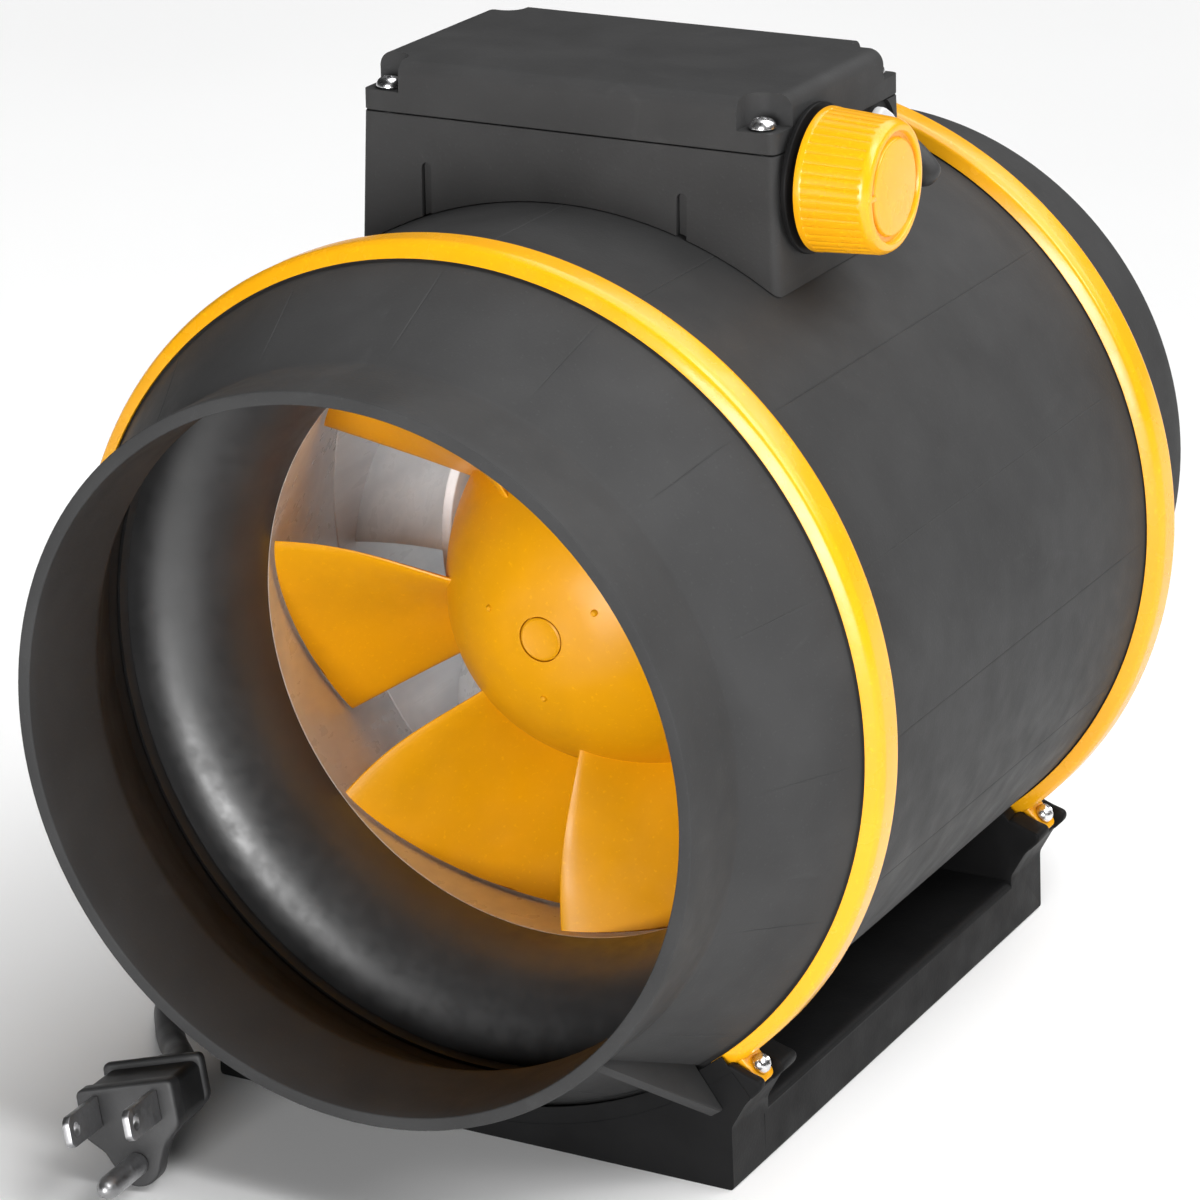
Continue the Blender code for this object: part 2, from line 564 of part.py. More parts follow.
# ---------------------------------------------------------------- mains lead
UPPER_ROUTE = [(-33.0, 51.4, 188.4), (-33.2, 58.5, 188.3), (-34.0, 66.5, 187.9), (-36.0, 74.5, 186.4),
               (-39.8, 82.0, 182.0), (-46.0, 90.0, 173.5), (-54.5, 97.0, 160.5), (-64.5, 102.0, 144.5),
               (-74.5, 104.8, 124.5), (-80.0, 105.0, 103.0), (-81.8, 102.8, 82.0), (-81.0, 98.3, 61.0),
               (-78.0, 91.5, 41.5), (-74.2, 82.5, 24.5)]
LOWER_ROUTE = [(-67.6, 35.0, 3.2), (-72.5, 19.0, 3.2), (-80.0, 2.0, 3.2), (-87.0, -15.0, 3.2),
               (-91.0, -32.0, 3.2), (-89.8, -48.0, 3.2), (-85.2, -60.0, 3.2), (-79.0, -69.5, 3.5),
               (-72.6, -77.8, 4.8), (-66.3, -85.2, 6.9), (-60.6, -92.5, 9.4), (-57.2, -98.7, 11.3),
               (-55.6, -103.1, 12.4)]


def smooth_route(points, spacing):
    """Points along a Catmull-Rom curve through the route, about a fixed spacing apart."""
    knots = [Vector(p) for p in points]
    ends = [2 * knots[0] - knots[1]] + knots + [2 * knots[-1] - knots[-2]]
    path = []
    for a, b, c, d in zip(ends, ends[1:], ends[2:], ends[3:]):
        count = max(1, round((c - b).length / spacing))
        for i in range(count):
            t = i / count
            path.append(0.5 * (2 * b + (c - a) * t + (2 * a - 5 * b + 4 * c - d) * t ** 2
                               + (3 * b - a - 3 * c + d) * t ** 3))
    return path + [knots[-1]]


def mains_lead():
    relief = [(0, 22.5), (4.8, 22.5), (4.8, 25.6), (3.9, 25.7), (3.9, 29.4), (6.5, 29.4), (6.5, 31.0),
              (5.4, 31.6), (3.8, 51.0), (0, 51.0)]
    turned("cord_strain_relief", relief, RUBBER, "Y", (LEAD_X, 0, LEAD_Z), 16)
    tube("power_cord_upper", smooth_route(UPPER_ROUTE, 12.0), CORD_R, RUBBER, 2)
    tube("power_cord_lower", smooth_route(LOWER_ROUTE, 12.0), CORD_R, RUBBER, 2)
    low, high = COIL_LIFT + 0.2, COIL_LIFT + 11.9
    ring = [(44.2, low + 1), (44.2, low + 5.6), (41.0, high), (27.8, high), (24.6, low + 5.6), (24.6, low + 1),
            (25.6, low), (43.2, low)]
    turned("cord_coil", ring, RUBBER, "Z", (*COIL_CENTRE, 0), 24)
    tie_frame = place((*COIL_CENTRE, 0), Matrix.Rotation(math.radians(200), 4, "Z")) @ Matrix.Rotation(math.pi / 2, 4, "X")
    tie = extruded("coil_tie", [(23.2, 0.1), (45.6, 0.1), (45.6, 7.4), (41.8, 13.9), (27.0, 13.9), (23.2, 7.4)],
                   -4, 4, RUBBER, tie_frame)
    inner = [(24.0, 0.9), (44.8, 0.9), (44.8, 7.2), (41.4, 13.2), (27.4, 13.2), (24.0, 7.2)]
    combine(tie, extruded("tie_window", inner, -6, 6, RUBBER, tie_frame))


def plug():
    """Moulded three-pin plug lying on its earth side; its local Z is the pins' direction."""
    yaw = Matrix.Rotation(math.radians(PLUG_YAW), 4, "Z")
    pitch = Matrix.Rotation(math.radians(-PLUG_PITCH), 4, "X")
    roll = Matrix.Rotation(math.radians(-PLUG_ROLL), 4, "Y")
    frame = place(PLUG_AT) @ yaw @ pitch @ roll @ Matrix.Rotation(math.pi / 2, 4, "X")
    lobe = [(4.9 * math.cos(math.radians(a)), -11.6 + 4.9 * math.sin(math.radians(a))) for a in range(-10, -171, -20)]
    face = [(-10.4, 4.6), (10.4, 4.6), (10.4, -5.0), (6.6, -8.6)] + lobe + [(-6.6, -8.6), (-10.4, -5.0)]
    body = extruded("plug_body", face, -4.6, 0, RUBBER, frame)
    back = [(-10.1, 4.3), (10.1, 4.3), (10.1, -4.9), (6.0, -8.2), (-6.0, -8.2), (-10.1, -4.9)]
    grip = [(-10.9, 5.6), (10.9, 5.6), (10.9, -7.2), (-10.9, -7.2)]
    combine(body, extruded("plug_back", back, -18.0, -3.0, RUBBER, frame), "UNION")
    combine(body, extruded("plug_flange", grip, -19.2, -17.0, RUBBER, frame), "UNION")
    neck = turned("plug_neck", [(0, -18), (5.0, -18), (3.9, -27.0), (0, -27.0)], RUBBER, "Z", steps=12)
    neck.matrix_world = frame
    combine(body, neck, "UNION")
    for name, x in (("plug_blade_left", -6.35), ("plug_blade_right", 6.35)):
        blade = block(name, (x - 0.75, -3.17, GAP), (x + 0.75, 3.17, 16.8), STEEL, frame)
        hole = turned(name + "_hole", [(0, -9), (1.6, -9), (1.6, 9), (0, 9)], STEEL, "X", steps=10)
        hole.matrix_world = frame @ place((0, 0, 13.4), SPIN["X"])
        combine(blade, hole)
    pin = turned("plug_earth_pin", [(0, GAP), (2.4, GAP), (2.4, 17.2), (1.7, 18.9), (0, 19.6)], STEEL, "Z", steps=16)
    pin.matrix_world = frame @ place((0, -11.6, 0))


def main():
    end_shell("inlet_shell", 0.0)
    end_shell("outlet_shell", math.pi)
    centre_housing()
    for end, y in (("front", -BAND_Y), ("rear", BAND_Y)):
        band(end + "_band", y)
        for side_name, side in (("right", 1), ("left", -1)):
            band_screw(f"band_screw_{end}_{side_name}", y, side)
    mounting_base()
    inlet_nozzle()
    impeller_shroud()
    guide_vane_stator()
    impeller()
    motor()
    control_box()
    control_box_lid()
    for end, y in (("front", -LID_SCREW_Y), ("rear", LID_SCREW_Y)):
        for side_name, x in (("right", LID_SCREW_X), ("left", -LID_SCREW_X)):
            lid_screw(f"lid_screw_{end}_{side_name}", x, y)
    controls()
    box_contents()
    mains_lead()
    plug()


main()
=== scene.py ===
"""Looks of the inline duct fan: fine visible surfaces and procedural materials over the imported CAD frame.

Lengths are in millimetres unless a name ends in _M, and become metres as each mesh is made.
The duct axis runs along Y, the inlet faces -Y and the base stands on Z = 0.
"""
import json
import math

import bmesh
import bpy
from mathutils import Matrix, Vector


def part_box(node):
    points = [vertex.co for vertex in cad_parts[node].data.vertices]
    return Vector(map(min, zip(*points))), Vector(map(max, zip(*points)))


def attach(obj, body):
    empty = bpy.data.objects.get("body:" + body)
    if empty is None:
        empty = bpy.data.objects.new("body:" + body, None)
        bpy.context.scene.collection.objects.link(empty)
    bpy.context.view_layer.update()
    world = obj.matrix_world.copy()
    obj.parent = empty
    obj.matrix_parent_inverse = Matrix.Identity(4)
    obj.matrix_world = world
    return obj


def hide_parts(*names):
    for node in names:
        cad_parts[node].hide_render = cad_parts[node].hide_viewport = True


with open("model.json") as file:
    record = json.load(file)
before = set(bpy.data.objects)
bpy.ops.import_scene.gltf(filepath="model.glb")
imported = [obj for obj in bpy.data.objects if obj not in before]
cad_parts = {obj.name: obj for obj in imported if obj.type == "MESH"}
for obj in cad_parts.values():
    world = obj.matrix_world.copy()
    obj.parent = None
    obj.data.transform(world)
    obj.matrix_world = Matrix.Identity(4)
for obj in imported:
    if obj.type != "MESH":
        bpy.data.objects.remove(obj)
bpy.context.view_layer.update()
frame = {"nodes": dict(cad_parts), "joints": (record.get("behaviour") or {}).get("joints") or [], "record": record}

MM = 0.001
TO_METRES, TO_MILLIMETRES = Matrix.Diagonal((MM, MM, MM, 1)), Matrix.Diagonal((1 / MM, 1 / MM, 1 / MM, 1))


def extent(node):
    """The low and high corner of a node's box, in millimetres."""
    low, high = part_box(node)
    return low / MM, high / MM


JOINTS = {joint["name"]: Vector(joint["pos_m"]) / MM for joint in frame["joints"]}
AXIS_Z = JOINTS["impeller_spin"].z
KNOB_OUT = 0.9                        # the knob stands this far off the place of its joint
KNOB_AT = JOINTS["knob_turn"] + Vector((KNOB_OUT, 0, 0))
MOUTH_Y = extent("outlet_shell")[1].y
BAND_Y = (extent("rear_band")[0].y + extent("rear_band")[1].y) / 2
BASE_EDGE_Y = extent("mounting_base")[1].y
BOX_LOW, BOX_HIGH = extent("control_box")
LID_LOW, LID_HIGH = extent("control_box_lid")
NUT_LOW, NUT_HIGH = extent("side_gland_nut")
COIL_LOW, COIL_HIGH = extent("cord_coil")
RELIEF_LOW, RELIEF_HIGH = extent("cord_strain_relief")

# ------------------------------------------------------------------ camera
CAMERA_AT_M = (0.4352, -0.81535, 0.4278)
CAMERA_RIGHT = Vector((0.88084979, 0.4730562, -0.01792956))
CAMERA_UP = Vector((-0.14727474, 0.30983304, 0.93931552))
LENS = 138.58


def make_camera():
    camera = bpy.data.objects.new("camera", bpy.data.cameras.new("camera"))
    camera.data.lens = LENS
    camera.data.sensor_width = 36.0
    camera.data.clip_start = 0.01
    turn = Matrix((CAMERA_RIGHT, CAMERA_UP, CAMERA_RIGHT.cross(CAMERA_UP))).transposed()
    camera.matrix_world = Matrix.Translation(CAMERA_AT_M) @ turn.to_4x4()
    bpy.context.scene.collection.objects.link(camera)
    bpy.context.scene.camera = camera


make_camera()


# ------------------------------------------------------------------ materials
class Graph:
    """Short names for the nodes that the procedural finishes share."""

    def __init__(self, name, metallic, specular):
        self.material = bpy.data.materials.new(name)
        self.material.use_nodes = True
        self.nodes = self.material.node_tree.nodes
        self.links = self.material.node_tree.links
        self.shader = self.nodes["Principled BSDF"]
        self.shader.inputs["Metallic"].default_value = metallic
        self.shader.inputs["Specular IOR Level"].default_value = specular
        self.place = self.nodes.new("ShaderNodeTexCoord").outputs["Object"]

    def stretched(self, scale):
        node = self.nodes.new("ShaderNodeMapping")
        node.inputs["Scale"].default_value = scale
        self.links.new(self.place, node.inputs["Vector"])
        return node.outputs["Vector"]

    def noise(self, scale, detail=4.0, where=None, distortion=0.0):
        node = self.nodes.new("ShaderNodeTexNoise")
        node.inputs["Scale"].default_value = scale
        node.inputs["Detail"].default_value = detail
        node.inputs["Distortion"].default_value = distortion
        self.links.new(where or self.place, node.inputs["Vector"])
        return node.outputs["Fac"]

    def ranged(self, value, low, high, to_low, to_high):
        node = self.nodes.new("ShaderNodeMapRange")
        for socket, number in zip(("From Min", "From Max", "To Min", "To Max"), (low, high, to_low, to_high)):
            node.inputs[socket].default_value = number
        self.links.new(value, node.inputs["Value"])
        return node.outputs["Result"]

    def mixed(self, factor, first, second):
        """Mix two colours; either may be another node's output."""
        node = self.nodes.new("ShaderNodeMix")
        node.data_type = "RGBA"
        self.links.new(factor, node.inputs["Factor"])
        for socket, colour in (("A", first), ("B", second)):
            target = next(i for i in node.inputs if i.name == socket and i.type == "RGBA")
            if isinstance(colour, tuple):
                target.default_value = (*colour, 1.0)
            else:
                self.links.new(colour, target)
        return next(o for o in node.outputs if o.type == "RGBA")

    def bumped(self, height, strength, distance, before=None):
        node = self.nodes.new("ShaderNodeBump")
        node.inputs["Strength"].default_value = strength
        node.inputs["Distance"].default_value = distance
        self.links.new(height, node.inputs["Height"])
        if before:
            self.links.new(before, node.inputs["Normal"])
        return node.outputs["Normal"]

    def set(self, socket, value):
        if isinstance(value, float):
            self.shader.inputs[socket].default_value = value
        else:
            self.links.new(value, self.shader.inputs[socket])


def shade(colour, factor):
    return tuple(min(1.0, channel * factor) for channel in colour)


def plastic(name, colour, roughness, grain, depth, spread=0.18, specular=0.4, scuff=0.0):
    """Moulded plastic: sub-millimetre grain, slow cloudiness, and pale scuffs where it is handled."""
    graph = Graph(name, 0.0, specular)
    fine = graph.noise(grain, 3.0)
    cloud = graph.noise(38.0, 5.0, distortion=0.4)
    tone = graph.mixed(graph.ranged(cloud, 0.35, 0.65, 0.0, 1.0),
                       shade(colour, 1 - spread), shade(colour, 1 + spread))
    speck = graph.ranged(fine, 0.62, 0.74, 0.0, 0.35)
    tone = graph.mixed(speck, tone, shade(colour, 1.5))
    if scuff:
        marks = graph.noise(90.0, 8.0, graph.stretched((1.0, 0.25, 1.0)), 1.2)
        tone = graph.mixed(graph.ranged(marks, 0.66, 0.8, 0.0, scuff), tone, shade(colour, 3.0))
    graph.set("Base Color", tone)
    rough = graph.noise(120.0, 4.0)
    graph.set("Roughness", graph.ranged(rough, 0.3, 0.7, roughness - 0.06, roughness + 0.08))
    normal = graph.bumped(fine, depth, 0.00012)
    graph.set("Normal", graph.bumped(cloud, 0.12, 0.0006, normal))
    return graph.material


def glossy_black(name, colour, roughness):
    """Polished black moulding with a mottled sheen, as on the inlet nozzle."""
    graph = Graph(name, 0.0, 0.9)
    cloud = graph.noise(60.0, 9.0, distortion=0.3)
    fine = graph.noise(300.0, 8.0)
    graph.set("Base Color", graph.mixed(cloud, shade(colour, 0.6), shade(colour, 1.6)))
    graph.set("Roughness", graph.ranged(fine, 0.3, 0.7, roughness - 0.07, roughness + 0.09))
    normal = graph.bumped(fine, 0.12, 0.0001)
    graph.set("Normal", graph.bumped(cloud, 0.20, 0.0005, normal))
    return graph.material


def metal(name, colour, roughness, stretch=(1.0, 1.0, 1.0), scale=260.0, contrast=0.25, metallic=1.0):
    """Metal with streaks along its least stretched direction and small tonal patches."""
    graph = Graph(name, metallic, 0.5)
    streak = graph.noise(scale, 6.0, graph.stretched(stretch))
    patch = graph.noise(45.0, 6.0, distortion=0.8)
    tone = graph.mixed(graph.ranged(patch, 0.35, 0.65, 0.0, 1.0),
                       shade(colour, 1 - contrast), shade(colour, 1.1))
    graph.set("Base Color", graph.mixed(graph.ranged(streak, 0.3, 0.7, 0.0, 0.4), tone, shade(colour, 0.7)))
    graph.set("Roughness", graph.ranged(streak, 0.3, 0.7, roughness - 0.08, roughness + 0.12))
    graph.set("Normal", graph.bumped(streak, 0.15, 0.0001))
    return graph.material


FINISHES = {
    "housing_plastic": plastic("housing_plastic", (0.046, 0.046, 0.0464), 0.52, 1500.0, 0.30,
                               spread=0.10, specular=0.06, scuff=0.10),
    "base_plastic": plastic("base_plastic", (0.010, 0.010, 0.0103), 0.46, 1300.0, 0.25,
                            specular=0.07, scuff=0.08),
    "nozzle_plastic": glossy_black("nozzle_plastic", (0.034, 0.034, 0.035), 0.40),
    "yellow_plastic": plastic("yellow_plastic", (0.88, 0.40, 0.006), 0.24, 900.0, 0.06, 0.04, 0.5),
    "impeller_plastic": plastic("impeller_plastic", (0.76, 0.33, 0.002), 0.38, 1100.0, 0.10, 0.06, 0.35),
    "bright_sheet": metal("bright_sheet", (0.97, 0.98, 1.0), 0.30, (1.0, 0.12, 1.0),
                          contrast=0.12, metallic=0.0),
    "screw_steel": metal("screw_steel", (0.82, 0.82, 0.83), 0.24, scale=900.0),
    "motor_iron": metal("motor_iron", (0.28, 0.28, 0.29), 0.5, (0.2, 1.0, 0.2)),
    "copper_wire": metal("copper_wire", (0.72, 0.33, 0.15), 0.35, (1.0, 1.0, 1.0), 1200.0),
    "magnet": plastic("magnet", (0.10, 0.10, 0.11), 0.55, 2200.0, 0.3),
    "circuit_board": plastic("circuit_board", (0.02, 0.16, 0.05), 0.45, 700.0, 0.1),
    "pale_nylon": plastic("pale_nylon", (0.72, 0.73, 0.74), 0.42, 900.0, 0.08, 0.05),
    "cord_rubber": plastic("cord_rubber", (0.034, 0.034, 0.035), 0.48, 1900.0, 0.22),
}
PIN_STEEL = metal("pin_steel", (0.46, 0.46, 0.47), 0.42, scale=700.0)


# ------------------------------------------------------------------ mesh tools
def piece(name, shape, slot, body="housing", replaced=(), angle=35.0):
    """Make a bmesh an object that rides on a body and stands for CAD nodes."""
    bmesh.ops.remove_doubles(shape, verts=shape.verts, dist=1e-7)
    bmesh.ops.recalc_face_normals(shape, faces=shape.faces)
    mesh = bpy.data.meshes.new(name)
    shape.to_mesh(mesh)
    shape.free()
    mesh.materials.append(FINISHES[slot])
    mesh.shade_smooth()
    mesh.set_sharp_from_angle(angle=math.radians(angle))
    made = bpy.data.objects.new(name, mesh)
    bpy.context.scene.collection.objects.link(made)
    if body:
        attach(made, body)
        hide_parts(*replaced)
    return made


def fillet(corners, size, cyclic=True, steps=3):
    """Round the corners of an outline; a corner may carry its own size as a third number."""
    points = []
    for i, corner in enumerate(corners):
        here = Vector(corner[:2])
        reach = corner[2] if len(corner) > 2 else size
        if reach == 0 or (not cyclic and i in (0, len(corners) - 1)):
            points.append(here)
            continue
        before = Vector(corners[i - 1][:2]) - here
        after = Vector(corners[(i + 1) % len(corners)][:2]) - here
        start = here + before.normalized() * min(reach, before.length * 0.45)
        end = here + after.normalized() * min(reach, after.length * 0.45)
        for k in range(steps + 1):
            t = k / steps
            points.append(start * (1 - t) ** 2 + here * (2 * t * (1 - t)) + end * t ** 2)
    return points


def catmull(points, steps):
    """Smooth curve through points, with a number of steps between each two."""
    knots = [Vector(p) for p in points]
    ends = [2 * knots[0] - knots[1]] + knots + [2 * knots[-1] - knots[-2]]
    path = []
    for a, b, c, d in zip(ends, ends[1:], ends[2:], ends[3:]):
        for i in range(steps):
            t = i / steps
            path.append(0.5 * (2 * b + (c - a) * t + (2 * a - 5 * b + 4 * c - d) * t ** 2
                               + (3 * b - a - 3 * c + d) * t ** 3))
    return path + [knots[-1]]


def loft(shape, rings, closed=False):
    """Skin rings of points that match one to one; unless closed, the end rings are capped."""
    made = [[shape.verts.new(Vector(p) * MM) for p in ring] for ring in rings]
    following = made[1:] + ([made[0]] if closed else [])
    for one, two in zip(made, following):
        for k in range(len(one)):
            j = (k + 1) % len(one)
            shape.faces.new((one[k], one[j], two[j], two[k]))
    if not closed:
        shape.faces.new(made[0])
        shape.faces.new(made[-1])


def wheel(profile, at, axis="Y", steps=192, bend=None, angles=None):
    """Spin a closed (radius, height) outline, or one that starts and ends on the axis.

    Given angles make an open sector with capped ends.
    """
    shape = bmesh.new()
    rings = []
    for degrees in angles or [360.0 * i / steps for i in range(steps)]:
        angle = math.radians(degrees)
        ring = []
        for radius, height in profile:
            reach = bend(degrees, radius, height) if bend else radius
            across, up = reach * math.cos(angle), reach * math.sin(angle)
            spot = {"X": (height, across, up), "Y": (across, height, up), "Z": (across, up, height)}[axis]
            ring.append(shape.verts.new((Vector(at) + Vector(spot)) * MM))
        rings.append(ring)
    on_axis = profile[0][0] == 0 and profile[-1][0] == 0
    links = len(profile) - 1 if on_axis else len(profile)
    for one, two in zip(rings, rings[1:] + ([] if angles else [rings[0]])):
        for k in range(links):
            j = (k + 1) % len(profile)
            shape.faces.new((one[k], one[j], two[j], two[k]))
    if angles:
        shape.faces.new(rings[0])
        shape.faces.new(rings[-1])
    return shape


def slab(outline, low, high, place=Matrix.Identity(4), edge=0.4, segments=2):
    """Extrude a flat outline along local Z, with its two rims rounded by edge."""
    shape = bmesh.new()
    bottom = [shape.verts.new((x, y, low)) for x, y in outline]
    top = [shape.verts.new((x, y, high)) for x, y in outline]
    caps = [shape.faces.new(bottom), shape.faces.new(top)]
    for k in range(len(outline)):
        j = (k + 1) % len(outline)
        shape.faces.new((bottom[k], bottom[j], top[j], top[k]))
    bmesh.ops.recalc_face_normals(shape, faces=shape.faces)
    if edge:
        rims = [e for cap in caps for e in cap.edges]
        bmesh.ops.bevel(shape, geom=rims, offset=edge, segments=segments, affect="EDGES", profile=0.5,
                        clamp_overlap=True)
    shape.transform(TO_METRES @ place)
    return shape


def moved(shape, place):
    """Move a shape that is already in metres by a placement in millimetres."""
    shape.transform(TO_METRES @ place @ TO_MILLIMETRES)
    return shape


def rounded_block(low, high, edge, place=Matrix.Identity(4), segments=3):
    shape = bmesh.new()
    bmesh.ops.create_cube(shape, size=1)
    size = Vector(high) - Vector(low)
    shape.transform(Matrix.Translation((Vector(low) + Vector(high)) / 2) @ Matrix.Diagonal((*size, 1)))
    bmesh.ops.bevel(shape, geom=shape.edges[:], offset=edge, segments=segments, affect="EDGES", profile=0.5)
    shape.transform(TO_METRES @ place)
    return shape


def carve(target, tools, operation="DIFFERENCE", angle=35.0):
    """Cut a shape out of a piece, or join one to it, and keep the result as its mesh."""
    cutter = piece(target.name + "_tool", tools, "screw_steel", body=None)
    step = target.modifiers.new("carve", "BOOLEAN")
    step.operation = operation
    step.solver = "EXACT"
    step.object = cutter
    graph = bpy.context.evaluated_depsgraph_get()
    mesh = bpy.data.meshes.new_from_object(target.evaluated_get(graph))
    target.modifiers.clear()
    target.data = mesh
    finish = mesh.materials[0]
    mesh.materials.clear()
    mesh.materials.append(finish)
    mesh.polygons.foreach_set("material_index", [0] * len(mesh.polygons))
    mesh.shade_smooth()
    mesh.set_sharp_from_angle(angle=math.radians(angle))
    bpy.data.objects.remove(cutter)
    return target


def pipe(path, radii, sides=24):
    """A round bar along points, with its radius at each."""
    shape = bmesh.new()
    rings, across = [], Vector((0.123, 0.456, 0.88))
    for i, point in enumerate(path):
        ahead = Vector(path[min(i + 1, len(path) - 1)]) - Vector(path[max(i - 1, 0)])
        ahead.normalize()
        across = (across - ahead * across.dot(ahead)).normalized()
        other = ahead.cross(across)
        rings.append([Vector(point) + (across * math.cos(a) + other * math.sin(a)) * radii[i]
                      for a in (2 * math.pi * k / sides for k in range(sides))])
    loft(shape, rings)
    return shape


def arc(radius, start, end, count, centre=(0.0, 0.0)):
    return [(centre[0] + radius * math.cos(math.radians(a)), centre[1] + radius * math.sin(math.radians(a)))
            for a in (start + (end - start) * i / count for i in range(count + 1))]


AXIS = (0.0, 0.0, AXIS_Z)
# Placements of a flat outline: drawn in X and Z and pulled along Y, or drawn in Y and Z and pulled along X.
UPRIGHT = Matrix(((1, 0, 0, 0), (0, 0, 1, 0), (0, 1, 0, 0), (0, 0, 0, 1)))
SIDEWAYS = Matrix(((0, 0, 1, 0), (1, 0, 0, 0), (0, 1, 0, 0), (0, 0, 0, 1)))


def radial(degrees, side=1, order="rty"):
    """Local axes at an angle on the duct: r outward, t tangential and upward, y along the duct."""
    angle = math.radians(degrees)
    axes = {"r": Vector((side * math.cos(angle), 0, math.sin(angle))),
            "t": Vector((-side * math.sin(angle), 0, math.cos(angle))),
            "y": Vector((0, 1, 0))}
    turn = Matrix([axes[key] for key in order]).transposed()
    return Matrix.Translation(AXIS) @ turn.to_4x4()


# ------------------------------------------------------------------ mains lead
CORD_D = 6.2
UPPER_ROUTE = [(-33.0, 51.4, 188.4), (-33.2, 58.5, 188.3), (-34.0, 66.5, 187.9), (-36.0, 74.5, 186.4),
               (-39.8, 82.0, 182.0), (-46.0, 90.0, 173.5), (-54.5, 97.0, 160.5), (-64.5, 102.0, 144.5),
               (-74.5, 104.8, 124.5), (-80.0, 105.0, 103.0), (-81.8, 102.8, 82.0), (-81.0, 98.3, 61.0),
               (-78.0, 91.5, 41.5), (-74.2, 82.5, 24.5), (-70.2, 73.0, 13.8)]
LOWER_ROUTE = [(-67.6, 35.0, 3.2), (-72.5, 19.0, 3.2), (-80.0, 2.0, 3.2), (-87.0, -15.0, 3.2),
               (-91.0, -32.0, 3.2), (-89.8, -48.0, 3.2), (-85.2, -60.0, 3.2), (-79.0, -69.5, 3.5),
               (-72.6, -77.8, 4.8), (-66.3, -85.2, 6.9), (-60.6, -92.5, 9.4), (-57.2, -98.7, 11.3),
               (-55.6, -103.1, 12.4)]
COIL_OUTER, COIL_PITCH = 40.8, 6.3
COIL_TOP_Z, COIL_BOTTOM_Z = 9.6, 3.3
INWARD_TURNS, DROP_TURNS, OUTWARD_TURNS = 2.25, 0.25, 2.5
STEPS_A_TURN = 32
RELIEF_RIBS = 6
STRAP_DEG = 200                       # where round the coil its tie is
PLUG_YAW, PLUG_PITCH, PLUG_ROLL = 13.7, -10.0, -12.0
BLADE_X, EARTH_Y = 6.35, -11.6        # the pins in the plug's face


def coil_points():
    """Two layers of a flat coil, wound inward on top and outward below, clockwise from above."""
    middle = (COIL_LOW + COIL_HIGH) / 2
    total = INWARD_TURNS + DROP_TURNS + OUTWARD_TURNS
    count = round(total * STEPS_A_TURN)
    points = []
    for i in range(count + 1):
        turn = total * i / count
        if turn < INWARD_TURNS:
            radius, z = COIL_OUTER - COIL_PITCH * turn, COIL_TOP_Z
        elif turn < INWARD_TURNS + DROP_TURNS:
            part = (turn - INWARD_TURNS) / DROP_TURNS
            ease = part * part * (3 - 2 * part)
            radius = COIL_OUTER - COIL_PITCH * turn
            z = COIL_TOP_Z + (COIL_BOTTOM_Z - COIL_TOP_Z) * ease
        else:
            radius = COIL_OUTER - COIL_PITCH * (total - turn)
            z = COIL_BOTTOM_Z
        angle = -2 * math.pi * turn
        points.append(Vector((middle.x + radius * math.cos(angle), middle.y + radius * math.sin(angle), z)))
    return points


def mains_cord():
    coil = coil_points()
    path = catmull(UPPER_ROUTE + [coil[0]], 5)[:-1] + coil + catmull([coil[-1]] + LOWER_ROUTE, 5)[1:]
    curve = bpy.data.curves.new("mains_cord", "CURVE")
    curve.dimensions = "3D"
    curve.bevel_depth = CORD_D / 2 * MM
    curve.bevel_resolution = 5
    curve.use_fill_caps = True
    spline = curve.splines.new("POLY")
    spline.points.add(len(path) - 1)
    for knot, point in zip(spline.points, path):
        knot.co = (*(point * MM), 1)
    curve.materials.append(FINISHES["cord_rubber"])
    cord = bpy.data.objects.new("mains_cord", curve)
    bpy.context.scene.collection.objects.link(cord)
    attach(cord, "housing")
    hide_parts("power_cord_upper", "power_cord_lower", "cord_coil")
    return cord, sum((b - a).length for a, b in zip(path, path[1:])) * MM


def strain_relief():
    """Ribbed bend protector on the back of the control box."""
    profile = [(0, 22.5), (4.8, 22.5), (4.8, 25.6), (3.9, 25.7), (3.9, 29.4), (6.5, 29.4, 0.5), (6.5, 31.0, 0.5)]
    for i in range(RELIEF_RIBS):
        y, radius = 32.0 + 3.1 * i, 5.2 - 0.24 * i
        profile += [(radius - 0.7, y, 0.2), (radius - 0.7, y + 0.9, 0.2),
                    (radius, y + 1.0, 0.2), (radius - 0.1, y + 2.9, 0.2)]
    profile += [(3.8, 51.0), (0, 51.0)]
    centre = (RELIEF_LOW + RELIEF_HIGH) / 2
    shape = wheel(fillet(profile, 0.3, cyclic=False), (centre.x, 0, centre.z), "Y", 48)
    piece("strain_relief", shape, "cord_rubber", replaced=["cord_strain_relief"])


def coil_strap():
    """Flat tie that holds the coil together."""
    middle = (COIL_LOW + COIL_HIGH) / 2
    place = Matrix.Translation((middle.x, middle.y, 0)) @ Matrix.Rotation(math.radians(STRAP_DEG), 4, "Z") @ UPRIGHT
    outer = fillet([(21.0, 0.1), (45.4, 0.1), (45.4, 7.4), (41.8, 13.7), (25.0, 13.7), (21.0, 7.4)], 2.0)
    inner = fillet([(21.7, 0.5), (44.7, 0.5), (44.7, 7.2), (41.4, 13.0), (25.4, 13.0), (21.7, 7.2)], 1.8)
    strap = piece("coil_strap", slab(outer, -3.5, 3.5, place, 0.15), "cord_rubber", replaced=["coil_tie"])
    return carve(strap, slab(inner, -6, 6, place, 0))


